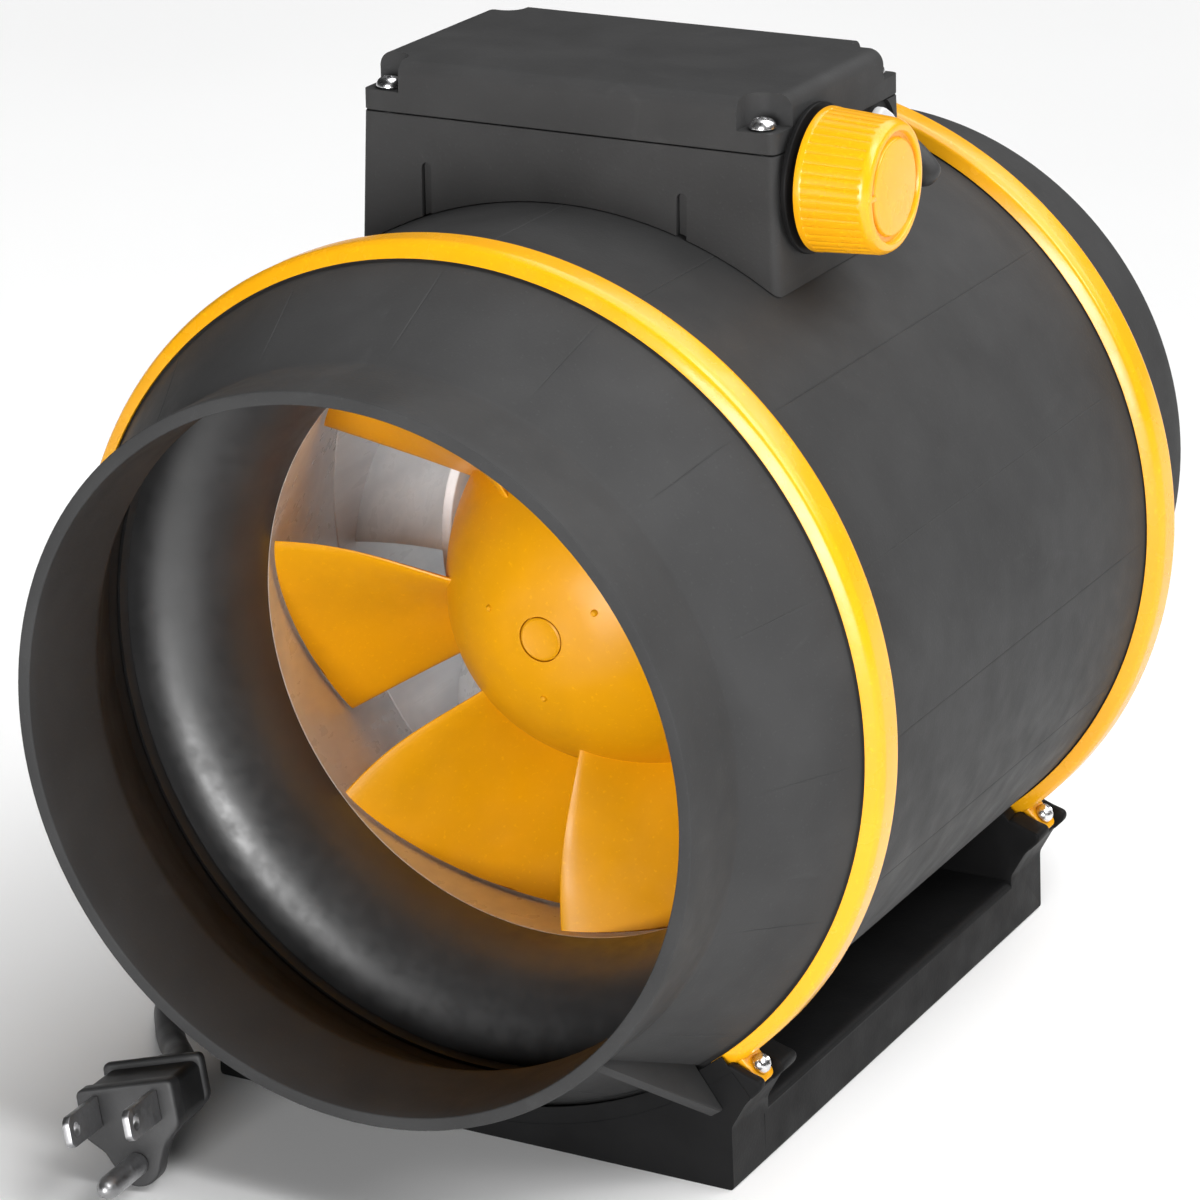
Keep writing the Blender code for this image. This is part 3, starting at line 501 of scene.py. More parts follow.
def plug_frame():
    """The plug's axes at rest, read from its blades: X across, Y up and Z towards the pins' tips."""
    corners = [*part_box("plug_blade_left"), *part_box("plug_blade_right")]
    centre = sum(corners, Vector()) / 4 / MM
    yaw, pitch, roll = (math.radians(a) for a in (PLUG_YAW, PLUG_PITCH, PLUG_ROLL))
    turn = Matrix.Rotation(yaw, 3, "Z") @ Matrix.Rotation(pitch, 3, "X") @ Matrix.Rotation(roll, 3, "Y")
    turn = (turn @ Matrix.Rotation(math.pi / 2, 3, "X")).to_4x4()
    return Matrix.Translation(centre - (turn @ Vector((0, 0, 8.55)))) @ turn


def plug_outline(half, top, bottom, corner, lobe=0.0):
    """Plug section: a rounded rectangle with a round lobe below its middle when lobe is its radius."""
    if not lobe:
        return fillet([(-half, top), (half, top), (half, bottom + 3.2), (half - 4.2, bottom),
                       (-half + 4.2, bottom), (-half, bottom + 3.2)], corner, steps=6)
    low = [(lobe + 1.7, bottom)] + arc(lobe, -10, -170, 16, (0, EARTH_Y)) + [(-lobe - 1.7, bottom)]
    corners = [(-half, top, corner), (half, top, corner), (half, bottom + 3.6, corner), (*low[0], 0.8)]
    corners += [(x, y, 0) for x, y in low[1:-1]] + [(*low[-1], 0.8), (-half, bottom + 3.6, corner)]
    return fillet(corners, corner, steps=6)


def plug():
    place = plug_frame()
    face = plug_outline(10.4, 4.6, -8.6, 1.6, 4.9)
    body = piece("plug_moulding", slab(face, -4.6, 0, place, 0.5, 3), "cord_rubber",
                 replaced=["plug_body"])
    back = slab(plug_outline(10.0, 4.2, -8.2, 2.0), -18.2, -3.0, place, 0.6, 3)
    grip = slab(plug_outline(10.9, 5.6, -7.2, 1.6), -19.4, -17.0, place, 0.7, 3)
    neck_profile = fillet([(0, -18), (5.4, -18), (5.0, -20.5, 0.6), (4.3, -26.4, 1.0), (3.4, -27.2, 0.4),
                           (0, -27.2)], 0.4, cyclic=False)
    neck = moved(wheel(neck_profile, (0, 0, 0), "Z", 40), place)
    for tool in (back, grip, neck):
        carve(body, tool, "UNION")
    pins = []
    for name, x in (("plug_blade_left", -BLADE_X), ("plug_blade_right", BLADE_X)):
        outline = fillet([(-3.17, 0.3), (3.17, 0.3), (3.17, 15.4, 0.3), (2.2, 16.8, 0.5), (-2.2, 16.8, 0.5),
                          (-3.17, 15.4, 0.3)], 0.2)
        blade = piece(name + "_fine", slab(outline, x - 0.75, x + 0.75, place @ SIDEWAYS, 0.18), "screw_steel",
                      replaced=[name])
        carve(blade, slab(arc(1.6, 0, 345, 23, (0, 13.4)), x - 4, x + 4, place @ SIDEWAYS, 0))
        pins.append(blade)
    profile = fillet([(0, 0.3), (2.4, 0.3), (2.4, 16.6, 1.2), (1.5, 18.9, 1.0), (0, 19.6)], 0.3,
                     cyclic=False, steps=5)
    earth = moved(wheel(profile, (0, EARTH_Y, 0), "Z", 32), place)
    pins.append(piece("plug_earth_pin_fine", earth, "screw_steel", replaced=["plug_earth_pin"]))
    for pin in pins:
        pin.data.materials[0] = PIN_STEEL
    return [body] + pins


CORD, CORD_LENGTH_M = mains_cord()
PLUG_PIECES = plug()
strain_relief()
STRAP = coil_strap()


# ------------------------------------------------------------------ housing
LINES = 16                            # parting lines along the duct
LINE_STEP = 360.0 / LINES
FIN_DEG = -54
COLLAR_R, COLLAR_END, WALL = 75.0, 102.35, 2.8


def lined_angles(steps, half_width):
    """Evenly spread angles with extra ones beside each parting line."""
    angles = {round(360.0 * i / steps, 3) for i in range(steps)}
    for k in range(LINES):
        centre = LINE_STEP * k
        angles = {a for a in angles if min(abs(a - centre), abs(a - centre - 360)) > half_width * 2.2}
        angles |= {round((centre + times * half_width) % 360, 3) for times in range(-2, 3)}
    return sorted(angles)


def ring_wheel(profile, bend, angles):
    """A full turn through unevenly spaced angles."""
    shape = bmesh.new()
    rings = []
    for degrees in angles:
        angle = math.radians(degrees)
        rings.append([(bend(degrees, r, h) * math.cos(angle), h, AXIS_Z + bend(degrees, r, h) * math.sin(angle))
                      for r, h in profile])
    loft(shape, rings, closed=True)
    return shape


def parting(low, high, least_radius, depth, half_width):
    """A bend that sinks fine lines along the duct into the outer skin between two heights."""
    def bend(degrees, radius, height):
        offset = (degrees + LINE_STEP / 2) % LINE_STEP - LINE_STEP / 2
        if abs(offset) < half_width / 2 and low < height < high and radius > least_radius(height):
            return radius - depth
        return radius
    return bend


def subdivided(points, longest):
    """Split long outline edges so that lines can start and stop along them."""
    out = []
    for a, b in zip(points, points[1:] + points[:1]):
        parts = max(1, math.ceil((Vector(b) - Vector(a)).length / longest))
        out += [Vector(a).lerp(Vector(b), i / parts) for i in range(parts)]
    return out


def end_shell(name, end):
    """Collar, cone and clamp flange; end is -1 for the inlet and 1 for the outlet."""
    outline = [(90.6, 71.6, 0.2), (90.6, 74.0, 0.5), (88.6, 75.3, 0.6), (88.0, 76.9, 0.8),
               (COLLAR_R, COLLAR_END, 0.9), (COLLAR_R, MOUTH_Y, 0.5), (COLLAR_R - WALL, MOUTH_Y, 0.5),
               (COLLAR_R - WALL, 97.65, 1.2), (85.0, 74.6, 0.4), (85.0, 71.6, 0.2)]
    profile = [(r, end * h) for r, h in subdivided(fillet(outline, 0.4), 4.0)]
    low, high = sorted((end * 79.5, end * 97.0))
    bend = parting(low, high, lambda h: 84.5 - 0.5 * (abs(h) - 76.9), 0.14, 0.16)
    piece(name + "_fine", ring_wheel(profile, bend, lined_angles(180, 0.16)), "housing_plastic",
          replaced=[name], angle=28.0)
    for side in (1, -1):
        rib = fillet([(73.6, end * 104.0), (76.2, end * 103.2), (98.0, end * 79.2, 0.5), (98.0, end * 77.95, 0.3),
                      (85.4, end * 77.95)], 0.2)
        fin = slab(rib, -1.2, 1.2, radial(FIN_DEG, side, "ryt"), 0.35)
        piece(f"{name}_fin_{'right' if side == 1 else 'left'}", fin, "housing_plastic")


def centre_shell():
    half = [(88.5, 67.2, 0.6), (90.6, 68.9, 0.6), (90.6, 71.3, 0.2), (85.7, 71.3, 0.2)]
    outline = half + [(r, -y, f) for r, y, f in reversed(half)]
    profile = subdivided(fillet(outline, 0.3), 6.0)
    bend = parting(-64.0, 64.0, lambda h: 87.0, 0.12, 0.14)
    piece("centre_housing_fine", ring_wheel(profile, bend, lined_angles(180, 0.14)), "housing_plastic",
          replaced=["centre_housing"])


BAND_END, TAB = -51.5, -49.2
TAB_SCREW_R, TAB_END_R = 94.8, 98.2
BAND_RADIUS = 92.2


def clamp_band(name, y):
    """Channel strip with a crowned face, closed over the flanges and ending in a screw tab at each side."""
    half = [(88.85, 5.2, 0.2), (91.45, 4.15, 0.5), (BAND_RADIUS, 2.7, 0.5)]
    hollow = [(88.85, -4.2, 0.2), (90.95, -3.2, 0.2), (90.95, 3.2, 0.2), (88.85, 4.2, 0.2)]
    outline = half + [(r, -h, f) for r, h, f in reversed(half)] + hollow
    profile = [(r, y + h) for r, h in fillet(outline, 0.3)]
    turns = [BAND_END + (180 - 2 * BAND_END) * i / 200 for i in range(201)]
    strip = piece(name + "_fine", wheel(profile, AXIS, angles=turns), "yellow_plastic", replaced=[name])
    for side in (1, -1):
        tab = fillet([(90.9, y - 3.4, 0), (TAB_END_R, y - 3.4, 2.2), (TAB_END_R, y + 3.4, 2.2),
                      (90.9, y + 3.4, 0)], 2.0, steps=6)
        carve(strip, slab(tab, 0.3, 1.9, radial(TAB, side, "ryt"), 0.3), "UNION")
        carve(strip, slab(arc(1.7, 0, 345, 23, (TAB_SCREW_R, y)), -3, 4, radial(TAB, side, "ryt"), 0))


def cross_recess(reach, width, low, high):
    """Cutter for a cross-head recess, narrower at its bottom."""
    bars = []
    for turned in (False, True):
        a, b = (reach, width) if not turned else (width, reach)
        shape = bmesh.new()
        rings = [[(x * a * f, y * b * f, z) for x, y in ((-1, -1), (1, -1), (1, 1), (-1, 1))]
                 for z, f in ((low, 0.55), (high, 1.1))]
        loft(shape, rings)
        bars.append(shape)
    return bars


def screw(name, place, profile, recess):
    """Pan-head screw along local Z, with a cross recess in its head."""
    body = moved(wheel(fillet(profile, 0.35, cyclic=False), (0, 0, 0), "Z", 40), place)
    made = piece(name + "_fine", body, "screw_steel", replaced=[name], angle=30.0)
    for bar in cross_recess(*recess):
        carve(made, moved(bar, place), angle=30.0)


def band_screws():
    profile = [(0, 4.4, 0), (1.2, 4.2, 0.7), (2.0, 3.5, 0.7), (2.2, 2.25, 0.2), (1.4, 2.2), (1.4, -8.5),
               (0, -8.5, 0)]
    for end, y in (("front", -BAND_Y), ("rear", BAND_Y)):
        for side_name, side in (("right", 1), ("left", -1)):
            place = radial(TAB, side, "ryt") @ Matrix.Translation((TAB_SCREW_R, y, 0))
            screw(f"band_screw_{end}_{side_name}", place, profile, (1.25, 0.3, 3.1, 4.8))


end_shell("inlet_shell", -1)
end_shell("outlet_shell", 1)
centre_shell()
clamp_band("front_band", -BAND_Y)
clamp_band("rear_band", BAND_Y)
band_screws()


# ------------------------------------------------------------------ base
CRADLE_R = 88.85
GROOVE_R = 92.6
LEDGE_Z = 12.8
SADDLE_IN = 61.3
BASE_HALF_X = 60.8
SADDLE_TOP_R = 99.1
GROOVE_HALF, EAR_INSET = 5.7, 3.9     # the band's groove, and how near the ears come to its middle


def polar(radius, degrees):
    return radius * math.cos(math.radians(degrees)), AXIS_Z + radius * math.sin(math.radians(degrees))


def saddle_outline(radius):
    """One saddle seen along the duct, open above where the housing lies."""
    top_in, top_out = polar(radius, TAB), polar(SADDLE_TOP_R, TAB)
    right = [(BASE_HALF_X, 0.0, 1.0), (BASE_HALF_X - 0.4, 14.0, 0.8), (top_out[0] - 1.2, top_out[1] - 1.4, 0.8),
             (*top_out, 0.5), (*top_in, 0.3)]
    cradle = [(*polar(radius, a), 0) for a in range(-52, -129, -2)]
    left = [(-x, z, f) for x, z, f in reversed(right)]
    return fillet(right + cradle + left, 0.5)


def bed_outline():
    """The lower bed between the saddles, hollowed where it passes under the housing."""
    meet = math.degrees(math.asin((AXIS_Z - LEDGE_Z) / CRADLE_R))
    cradle = [(*polar(CRADLE_R, -meet - (180 - 2 * meet) * i / 24), 0) for i in range(25)]
    right = [(BASE_HALF_X, 0.0, 1.0), (BASE_HALF_X - 0.3, LEDGE_Z, 2.4)]
    return fillet(right + cradle + [(-x, z, f) for x, z, f in reversed(right)], 0.5, steps=5)


def base_piece():
    base = piece("base_fine", slab(bed_outline(), -SADDLE_IN - 2, SADDLE_IN + 2, UPRIGHT, 0), "base_plastic",
                 replaced=["mounting_base"], angle=30.0)
    for end in (-1, 1):
        stations = [SADDLE_IN, BAND_Y - GROOVE_HALF, BAND_Y + GROOVE_HALF, BASE_EDGE_Y]
        for near, far, radius in zip(stations, stations[1:], (CRADLE_R, GROOVE_R, CRADLE_R)):
            low, high = sorted((end * near, end * far))
            lap, edge = (0, 0.35) if radius == CRADLE_R else (0.6, 0)
            carve(base, slab(saddle_outline(radius), low - lap, high + lap, UPRIGHT, edge), "UNION", 30.0)
        for side in (1, -1):
            ears(base, end, side)


def ears(base, end, side):
    """Rounded lugs on both sides of a band tab."""
    outline = fillet([(91.0, -3), (91.0, 0.4, 0.8), (94.2, 2.0, 1.6), (97.4, 4.2, 1.2), (98.9, 3.2, 1.4),
                      (99.4, -1.2, 1.6), (98.0, -4.2), (95.0, -6)], 0.8, steps=5)
    for inner, outer in ((BAND_Y + EAR_INSET, BASE_EDGE_Y), (BAND_Y - EAR_INSET, SADDLE_IN)):
        low, high = sorted((end * inner, end * outer))
        carve(base, slab(outline, low, high, radial(TAB, side, "rty"), 0.6, 3), "UNION", 30.0)


base_piece()


# ------------------------------------------------------------------ air path
NOZZLE_LIP_Y, NOZZLE_LIP_R = -67.65, 85.2
THROAT_Y, THROAT_R = -43.9, 65.4
SHROUD_END_Y, SHROUD_END_R, RING_R = 13.35, 84.0, 85.4
MOTOR_R = 50.0
BLADES, VANES = 7, 8
FIRST_BLADE_DEG, FIRST_VANE_DEG = 169.7, 184.0
GAP = 0.3
HUB = [(-43.35, 4.9), (-43.1, 6.5), (-41.65, 13.5), (-37.65, 21.5), (-31.65, 28.0), (-25.65, 32.5),
       (-16.65, 37.5), (-6.65, 41.5), (6.35, 45.0)]


def nozzle_curve(offset, count=28):
    """Quarter ellipse from the nozzle's lip to its throat, moved outward by offset."""
    points = []
    for i in range(count + 1):
        angle = math.pi / 2 * i / count
        points.append((NOZZLE_LIP_R - (NOZZLE_LIP_R - THROAT_R - offset) * math.sin(angle),
                       THROAT_Y - (THROAT_Y - NOZZLE_LIP_Y - offset) * math.cos(angle)))
    return points


def nozzle():
    rim = [(85.4, -66.0), (85.4, -70.6), (84.8, -70.6), (84.6, -68.0), (84.9, -67.8)]
    profile = rim + nozzle_curve(0.0)[1:] + nozzle_curve(1.5)[::-1][:-1]
    piece("nozzle_fine", wheel(profile, AXIS, steps=220), "nozzle_plastic", replaced=["inlet_nozzle"])


def shroud():
    start = THROAT_Y + GAP
    profile = fillet([(THROAT_R, start), (SHROUD_END_R, SHROUD_END_Y), (RING_R, SHROUD_END_Y),
                      (THROAT_R + 1.5, start)], 0.2)
    piece("shroud_fine", wheel(profile, AXIS, steps=200), "bright_sheet", replaced=["impeller_shroud"])


HUB_SMOOTH = catmull(HUB, 6)


def hub_radius(y):
    for (y0, r0), (y1, r1) in zip(HUB_SMOOTH, HUB_SMOOTH[1:]):
        if y <= y1:
            return r0 + (r1 - r0) * (y - y0) / (y1 - y0)
    return HUB_SMOOTH[-1][1]


def shroud_radius(y):
    return THROAT_R + (SHROUD_END_R - THROAT_R) * (y - THROAT_Y) / (SHROUD_END_Y - THROAT_Y)


def around(radius, degrees, y):
    angle = math.radians(degrees)
    return Vector((radius * math.cos(angle), y, AXIS_Z + radius * math.sin(angle)))


def blade_point(copy, span, chord):
    root_y = -30.65 + 31.0 * chord ** 1.1
    tip_y = -42.65 + 30.0 * chord ** 1.2
    root_r = hub_radius(root_y) - 1.2
    tip_r = shroud_radius(tip_y) - 0.9
    sweep = (1.0 - span) * (1.0 + 38.0 * chord) + span * 40.0 * chord
    bow = 2.2 * math.sin(math.pi * span) * (1.0 - chord)
    degrees = FIRST_BLADE_DEG + copy * 360.0 / BLADES + sweep - bow
    return around(root_r + (tip_r - root_r) * span, degrees, root_y + (tip_y - root_y) * span)


def vane_point(copy, span, chord):
    lead_y = 4.0 + 17.0 * span
    lean = -20.0 * (1.0 - (1.0 - chord) ** 2)
    degrees = FIRST_VANE_DEG + copy * 360.0 / VANES + lean + 4.0 * span
    return around(MOTOR_R - 1.1 + (RING_R - 0.6 - MOTOR_R + 1.1) * span, degrees, lead_y + (52.0 - lead_y) * chord)


def foil(surface, copy, rows, columns, thickness):
    """A closed plate over surface(copy, span, chord), with round leading and trailing edges."""
    shape = bmesh.new()
    rings = []
    step = 0.004
    for i in range(rows + 1):
        span = i / rows
        front, back = [], []
        for j in range(columns + 1):
            chord = (1 - math.cos(math.pi * j / columns)) / 2
            at = surface(copy, span, chord)
            along = surface(copy, span, min(1, chord + step)) - surface(copy, span, max(0, chord - step))
            out = surface(copy, min(1, span + step), chord) - surface(copy, max(0, span - step), chord)
            normal = along.cross(out).normalized()
            half = thickness / 2 * (1 - (2 * chord - 1) ** 8) ** 0.5
            front.append(at + normal * half)
            back.append(at - normal * half)
        rings.append(front + back[-2:0:-1])
    loft(shape, rings)
    return shape


def impeller():
    outside = [(r, y) for y, r in HUB_SMOOTH]
    inside = [(42.6, 6.35), (39.1, -6.65), (35.2, -16.3), (29.8, -25.65), (24.5, -31.65), (12.0, -38.2),
              (12.0, -17.4), (0, -17.4)]
    profile = [(0, -42.0), (4.85, -42.0), (4.95, -43.1)] + outside + inside
    piece("impeller_fine", wheel(profile, AXIS, steps=210), "impeller_plastic", "rotor", ["impeller"])
    for copy in range(BLADES):
        piece(f"blade_{copy + 1}", foil(blade_point, copy, 18, 22, 2.0), "impeller_plastic", "rotor")
    for k, degrees in enumerate((162.0, 31.0, -92.0)):
        at = around(13.6, degrees, -41.4)
        pip = wheel([(0, -0.75), (0.45, -0.7), (0.75, -0.35), (0.85, 0.4), (0, 0.6)], at, steps=20)
        piece(f"balance_pip_{k + 1}", pip, "impeller_plastic", "rotor")
    cap = [(0, -43.3), (3.6, -43.4), (4.2, -43.55), (4.6, -43.3), (4.6, -42.3), (0, -42.3)]
    piece("nose_cap_fine", wheel(cap, AXIS, steps=96), "impeller_plastic", "rotor", ["impeller_nose_cap"])


def guide_vanes():
    start = SHROUD_END_Y + GAP
    ring = fillet([(RING_R, start), (RING_R, 58.0), (83.9, 58.0), (83.9, start)], 0.4)
    piece("stator_ring", wheel(ring, AXIS, steps=200), "bright_sheet", replaced=["guide_vane_stator"])
    sleeve = fillet([(MOTOR_R, 2.35), (MOTOR_R, 54.0), (47.6, 54.0), (47.6, 2.35)], 0.5)
    piece("stator_sleeve", wheel(sleeve, AXIS, steps=144), "bright_sheet")
    for copy in range(VANES):
        piece(f"guide_vane_{copy + 1}", foil(vane_point, copy, 14, 16, 1.6), "bright_sheet")


def motor_cover():
    outside = catmull([(0, 91.5), (14.0, 91.0), (31.0, 87.0), (43.0, 78.0), (48.6, 66.0), (MOTOR_R, 54.3)], 5)
    inside = [(48.0, 54.3), (46.6, 65.4), (41.0, 76.6), (29.6, 85.0), (13.4, 88.8), (0, 89.3)]
    piece("motor_cover", wheel(outside + inside, AXIS, steps=120), "base_plastic", replaced=["motor_housing"])


nozzle()
shroud()
impeller()
guide_vanes()
motor_cover()


# ------------------------------------------------------------------ control box
SEAM_TOP = LID_LOW.z
SCREW_X = (extent("lid_screw_front_right")[0].x + extent("lid_screw_front_right")[1].x) / 2
SCREW_Y = (extent("lid_screw_rear_right")[0].y + extent("lid_screw_rear_right")[1].y) / 2
HOUSING_R = 88.5
BOX_DRAFT_Y = 1.2
SLOTS_X, SLOT_HALF, SLOT_TOP_Z, SLOT_DEPTH = (26.5, -32.0), 1.15, 190.0, 0.75
GLAND_POCKET_R, GLAND_POCKET_X = 8.8, 45.9
NOTCH_R, NOTCH_Z = 4.1, 203.8         # open corners of the lid, and the height their screws sit at
LID_ROUNDING = 3.0


def round_rectangle(half_x, half_y, radius, z, steps=6):
    corners = [(half_x, half_y), (-half_x, half_y), (-half_x, -half_y), (half_x, -half_y)]
    return [(p.x, p.y, z) for p in fillet(corners, radius, steps=steps)]


def on_housing(ring, lift):
    """Drop a ring of points onto the cylindrical housing."""
    return [(x, y, AXIS_Z + math.sqrt((HOUSING_R + lift) ** 2 - x * x)) for x, y, _ in ring]


def box_section(z):
    """The box's half widths at a height: it widens downwards with the mould draft."""
    drop = (BOX_HIGH.z - z) / (BOX_HIGH.z - BOX_LOW.z)
    return LID_HIGH.x + (BOX_HIGH.x - LID_HIGH.x) * drop, LID_HIGH.y + BOX_DRAFT_Y * drop


def control_box():
    """Open-topped box on the housing; a ring without a height of its own follows the housing's curve."""
    top = BOX_HIGH.z
    low_x, low_y = box_section(BOX_LOW.z + 6.0)
    high_x, high_y = box_section(top)
    rings = []
    for half_x, half_y, radius, z, lift in (
            (low_x - 2.4, low_y - 2.4, 1.0, None, 0.3), (low_x, low_y, 2.0, None, 0.25),
            (low_x - 0.05, low_y, 2.0, None, 1.2), (high_x, high_y, 2.0, top - 0.15, 0),
            (high_x - 0.12, high_y - 0.12, 2.0, top, 0), (high_x - 2.1, high_y - 2.1, 0.8, top, 0),
            (high_x - 2.4, high_y - 2.4, 0.8, top - 0.3, 0)):
        ring = round_rectangle(half_x, half_y, radius, z or 0)
        side = []
        for a, b in zip(ring, ring[1:] + ring[:1]):
            parts = 24 if (Vector(b) - Vector(a)).length > 10 else 1
            side += [tuple(Vector(a).lerp(Vector(b), k / parts)) for k in range(parts)]
        rings.append(on_housing(side, lift) if z is None else side)
    shape = bmesh.new()
    loft(shape, rings, closed=True)
    box = piece("control_box_fine", shape, "housing_plastic", replaced=["control_box"], angle=30.0)
    for x in SLOTS_X:
        z_low = AXIS_Z + math.sqrt(HOUSING_R ** 2 - x * x) - 3
        outline = [(x - SLOT_HALF, z_low), (x + SLOT_HALF, z_low)]
        outline += arc(SLOT_HALF, 0, 180, 10, (x, SLOT_TOP_Z - SLOT_HALF))
        carve(box, slab(outline, LID_LOW.y - 2.0, LID_LOW.y + SLOT_DEPTH, UPRIGHT, 0), angle=30.0)
    nut = (NUT_LOW + NUT_HIGH) / 2
    pocket = [(0, GLAND_POCKET_X), (GLAND_POCKET_R, GLAND_POCKET_X), (GLAND_POCKET_R, 52.0), (0, 52.0)]
    carve(box, wheel(pocket, (0, nut.y, nut.z), "X", 64), angle=30.0)


def lid():
    half_x, half_y = LID_HIGH.x, LID_HIGH.y
    rings = [round_rectangle(half_x - 0.12, half_y - 0.12, 2.0, SEAM_TOP),
             round_rectangle(half_x, half_y, 2.0, SEAM_TOP + 0.15)]
    for i in range(9):
        angle = math.pi / 2 * i / 8
        inset = LID_ROUNDING * (1 - math.cos(angle)) * 0.95 + 0.3 * i / 8
        z = LID_HIGH.z - LID_ROUNDING * (1 - math.sin(angle))
        rings.append(round_rectangle(half_x - inset, half_y - inset, 2.2, z))
    shape = bmesh.new()
    loft(shape, rings)
    made = piece("lid_fine", shape, "housing_plastic", replaced=["control_box_lid"], angle=25.0)
    for x in (-1, 1):
        for y in (-1, 1):
            opening = arc(NOTCH_R, 180, 270, 12) + [(8.5, -NOTCH_R), (8.5, 8.5), (-NOTCH_R, 8.5)]
            place = Matrix.Translation((x * SCREW_X, y * SCREW_Y, 0)) @ Matrix.Diagonal((x, y, 1, 1))
            carve(made, slab(opening, NOTCH_Z, LID_HIGH.z + 3, place, 0), angle=25.0)


def lid_screws():
    top = NOTCH_Z + 2.3
    profile = [(0, top, 0), (1.6, top - 0.15, 0.8), (2.5, top - 0.8, 0.8), (2.8, top - 1.95, 0.2),
               (1.55, top - 2.0), (1.55, 191.0), (0, 191.0, 0)]
    for end, y in (("front", -SCREW_Y), ("rear", SCREW_Y)):
        for side_name, x in (("right", SCREW_X), ("left", -SCREW_X)):
            screw(f"lid_screw_{end}_{side_name}", Matrix.Translation((x, y, 0)), profile,
                  (1.5, 0.34, top - 1.3, top + 0.3))


FLUTES, FLUTE_DEPTH = 40, 0.22
NUT_R, NUT_SUNK = 7.0, 1.6            # the nut's corners, and how far it sits below the CAD's
STUB_R = 3.4


def knob():
    """Fluted speed knob with a ring groove in its face and a raised pointer mark."""
    def fluted(degrees, radius, height):
        if radius < 13.0 or not 1.4 < height - KNOB_AT.x < 13.6:
            return radius
        wave = abs(math.sin(math.radians(degrees * FLUTES / 2)))
        return radius - FLUTE_DEPTH * (1 - wave) ** 2

    side = [(14.6, 0, 0.3), (14.5, 1.2, 0.3), (14.4, 1.6, 0.1), (13.65, 13.4, 0.1), (13.5, 14.2, 0.4),
            (12.7, 15.5, 0.5), (11.2, 15.7, 0.3), (10.9, 14.6, 0.15), (9.9, 14.6, 0.15), (9.6, 15.5, 0.3),
            (0, 15.55, 0), (0, 10.3, 0), (3.4, 10.3, 0), (3.4, 0, 0)]
    profile = [(r, KNOB_AT.x + h) for r, h in fillet(side, 0.2)]
    shape = wheel(profile, (0, KNOB_AT.y, KNOB_AT.z), "X", FLUTES * 8, fluted)
    piece("knob_fine", shape, "yellow_plastic", "knob", ["speed_knob"], 32.0)
    place = Matrix.Translation(KNOB_AT) @ Matrix.Rotation(math.pi / 2, 4, "Y") @ Matrix.Rotation(math.pi, 4, "Z")
    mark = rounded_block((-0.55, 9.4, 14.0), (0.55, 12.6, 15.7), 0.2, place)
    piece("knob_pointer", mark, "yellow_plastic", "knob")


def side_fittings():
    """Dark dial plate behind the knob, a near-black disc that paints the shade round the knob's base, and the
    blanked gland beside it.
    """
    plate_low, plate_high = extent("dial_plate")
    # Painted shade: this near-black disc darkens the box face round the knob's base, where the knob's shadow falls.
    disc = fillet([(15.2, plate_low.x), (15.2, plate_high.x), (4.2, plate_high.x), (4.2, plate_low.x)], 0.3)
    piece("dial_plate_painted_shade", wheel(disc, (0, KNOB_AT.y, KNOB_AT.z), "X", 96), "base_plastic",
          replaced=["dial_plate"])
    at = (NUT_LOW + NUT_HIGH) / 2 + Vector((0, -0.8, 0.4))
    hexagon = fillet(arc(NUT_R, 30, 330, 5), 1.6)
    place = Matrix.Translation((0, at.y, at.z)) @ SIDEWAYS
    nut = piece("gland_nut_fine", slab(hexagon, NUT_LOW.x, NUT_HIGH.x - NUT_SUNK, place, 0.6, 3), "pale_nylon",
                replaced=["side_gland_nut"])
    carve(nut, wheel([(0, 40), (4.0, 40), (4.0, 60), (0, 60)], (0, at.y, at.z), "X", 40))
    route = catmull([(43.6, at.y, at.z), (50.2, at.y, at.z), (54.0, at.y + 0.3, at.z - 2.2),
                     (57.0, at.y + 1.0, at.z - 5.4), (58.8, at.y + 1.8, at.z - 8.6)], 6)
    radii = [STUB_R] * (len(route) - 4) + [3.3, 3.0, 2.3, 1.2]
    piece("gland_plug_fine", pipe(route, radii, 32), "cord_rubber", replaced=["side_gland_plug"])


control_box()
lid()
lid_screws()
knob()
side_fittings()


# ------------------------------------------------------------------ carried-over CAD nodes
def dress_cad_nodes():
    slots = {row["node"]: row["material_slot"] for row in frame["record"]["subparts"]}
    for name, node in frame["nodes"].items():
        node.data.materials.clear()
        node.data.materials.append(FINISHES[slots[name]])


dress_cad_nodes()


# ------------------------------------------------------------------ studio
def floor():
    shape = bmesh.new()
    bmesh.ops.create_grid(shape, x_segments=1, y_segments=1, size=6.0)
    mesh = bpy.data.meshes.new("floor")
    shape.to_mesh(mesh)
    shape.free()
    graph = Graph("studio_floor", 0.0, 0.2)
    cloud = graph.noise(3.0, 3.0)
    graph.set("Base Color", graph.mixed(cloud, (0.93, 0.93, 0.93), (0.97, 0.97, 0.97)))
    graph.set("Roughness", graph.ranged(cloud, 0.3, 0.7, 0.7, 0.8))
    mesh.materials.append(graph.material)
    ground = bpy.data.objects.new("floor", mesh)
    bpy.context.scene.collection.objects.link(ground)


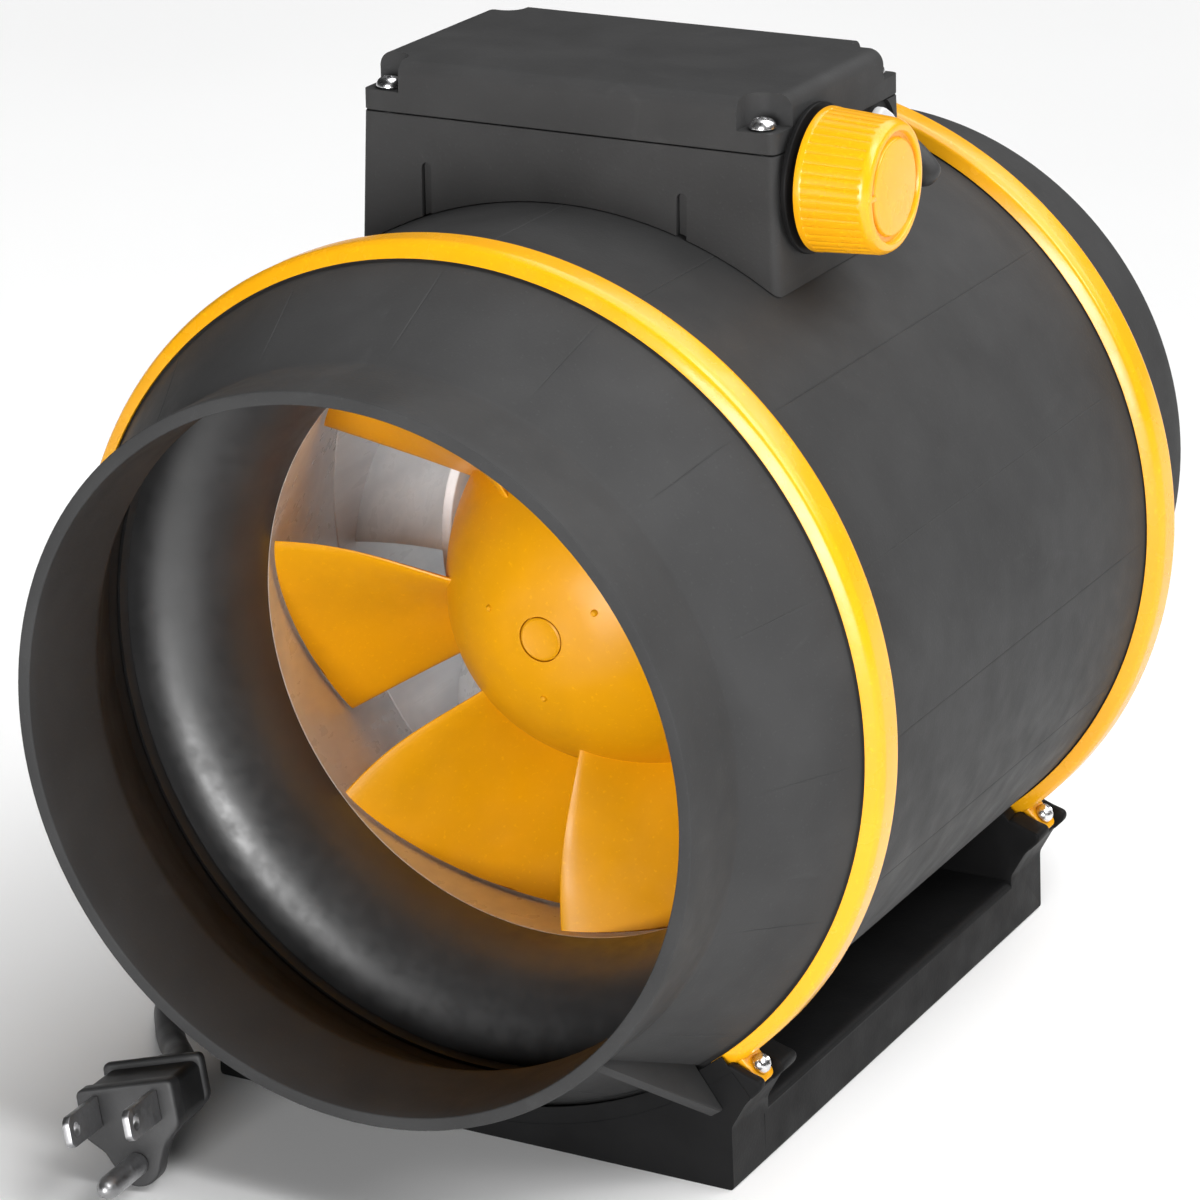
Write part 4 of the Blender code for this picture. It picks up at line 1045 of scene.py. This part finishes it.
def softbox(name, at, towards, width, height, power):
    """A rectangular light; its places are in metres."""
    light = bpy.data.lights.new(name, "AREA")
    light.shape = "RECTANGLE"
    light.size, light.size_y = width, height
    light.energy = power
    lamp = bpy.data.objects.new(name, light)
    back = Vector(at) - Vector(towards)
    lamp.matrix_world = Matrix.Translation(at) @ back.to_track_quat("Z", "Y").to_matrix().to_4x4()
    bpy.context.scene.collection.objects.link(lamp)


BRIGHT_SIDE = (0.45, 0.80, 0.30)      # direction of the pale backdrop
WORLD_LEVELS = (0.30, 1.05)           # strength on the dark side and on the bright one
CEILING_AT, CEILING_POWER, CEILING_SPREAD = Vector((0.30, 0.45, 0.84)), 3.0, 70


def studio():
    """Pale floor, a backdrop that is brighter behind, two softboxes and a broad ceiling light."""
    world = bpy.data.worlds.new("studio")
    world.use_nodes = True
    nodes, links = world.node_tree.nodes, world.node_tree.links
    facing = nodes.new("ShaderNodeVectorMath")
    facing.operation = "DOT_PRODUCT"
    facing.inputs[1].default_value = BRIGHT_SIDE
    links.new(nodes.new("ShaderNodeTexCoord").outputs["Generated"], facing.inputs[0])
    level = nodes.new("ShaderNodeMapRange")
    level.interpolation_type = "SMOOTHSTEP"
    for socket, number in zip(("From Min", "From Max", "To Min", "To Max"), (-0.6, 0.8, *WORLD_LEVELS)):
        level.inputs[socket].default_value = number
    links.new(facing.outputs["Value"], level.inputs["Value"])
    links.new(level.outputs["Result"], nodes["Background"].inputs["Strength"])
    bpy.context.scene.world = world
    floor()
    middle = (0.0, 0.0, AXIS_Z * MM)
    softbox("key_right", (0.95, -0.20, 1.15), middle, 0.5, 0.9, 11.0)
    softbox("front", (0.30, -1.50, 0.25), middle, 0.7, 0.7, 25.0)
    sun = bpy.data.objects.new("ceiling", bpy.data.lights.new("ceiling", "SUN"))
    sun.data.energy = CEILING_POWER
    sun.data.angle = math.radians(CEILING_SPREAD)
    sun.matrix_world = CEILING_AT.to_track_quat("Z", "Y").to_matrix().to_4x4()
    bpy.context.scene.collection.objects.link(sun)
    scene = bpy.context.scene
    scene.view_settings.view_transform = "Standard"
    scene.view_settings.look = "None"


studio()
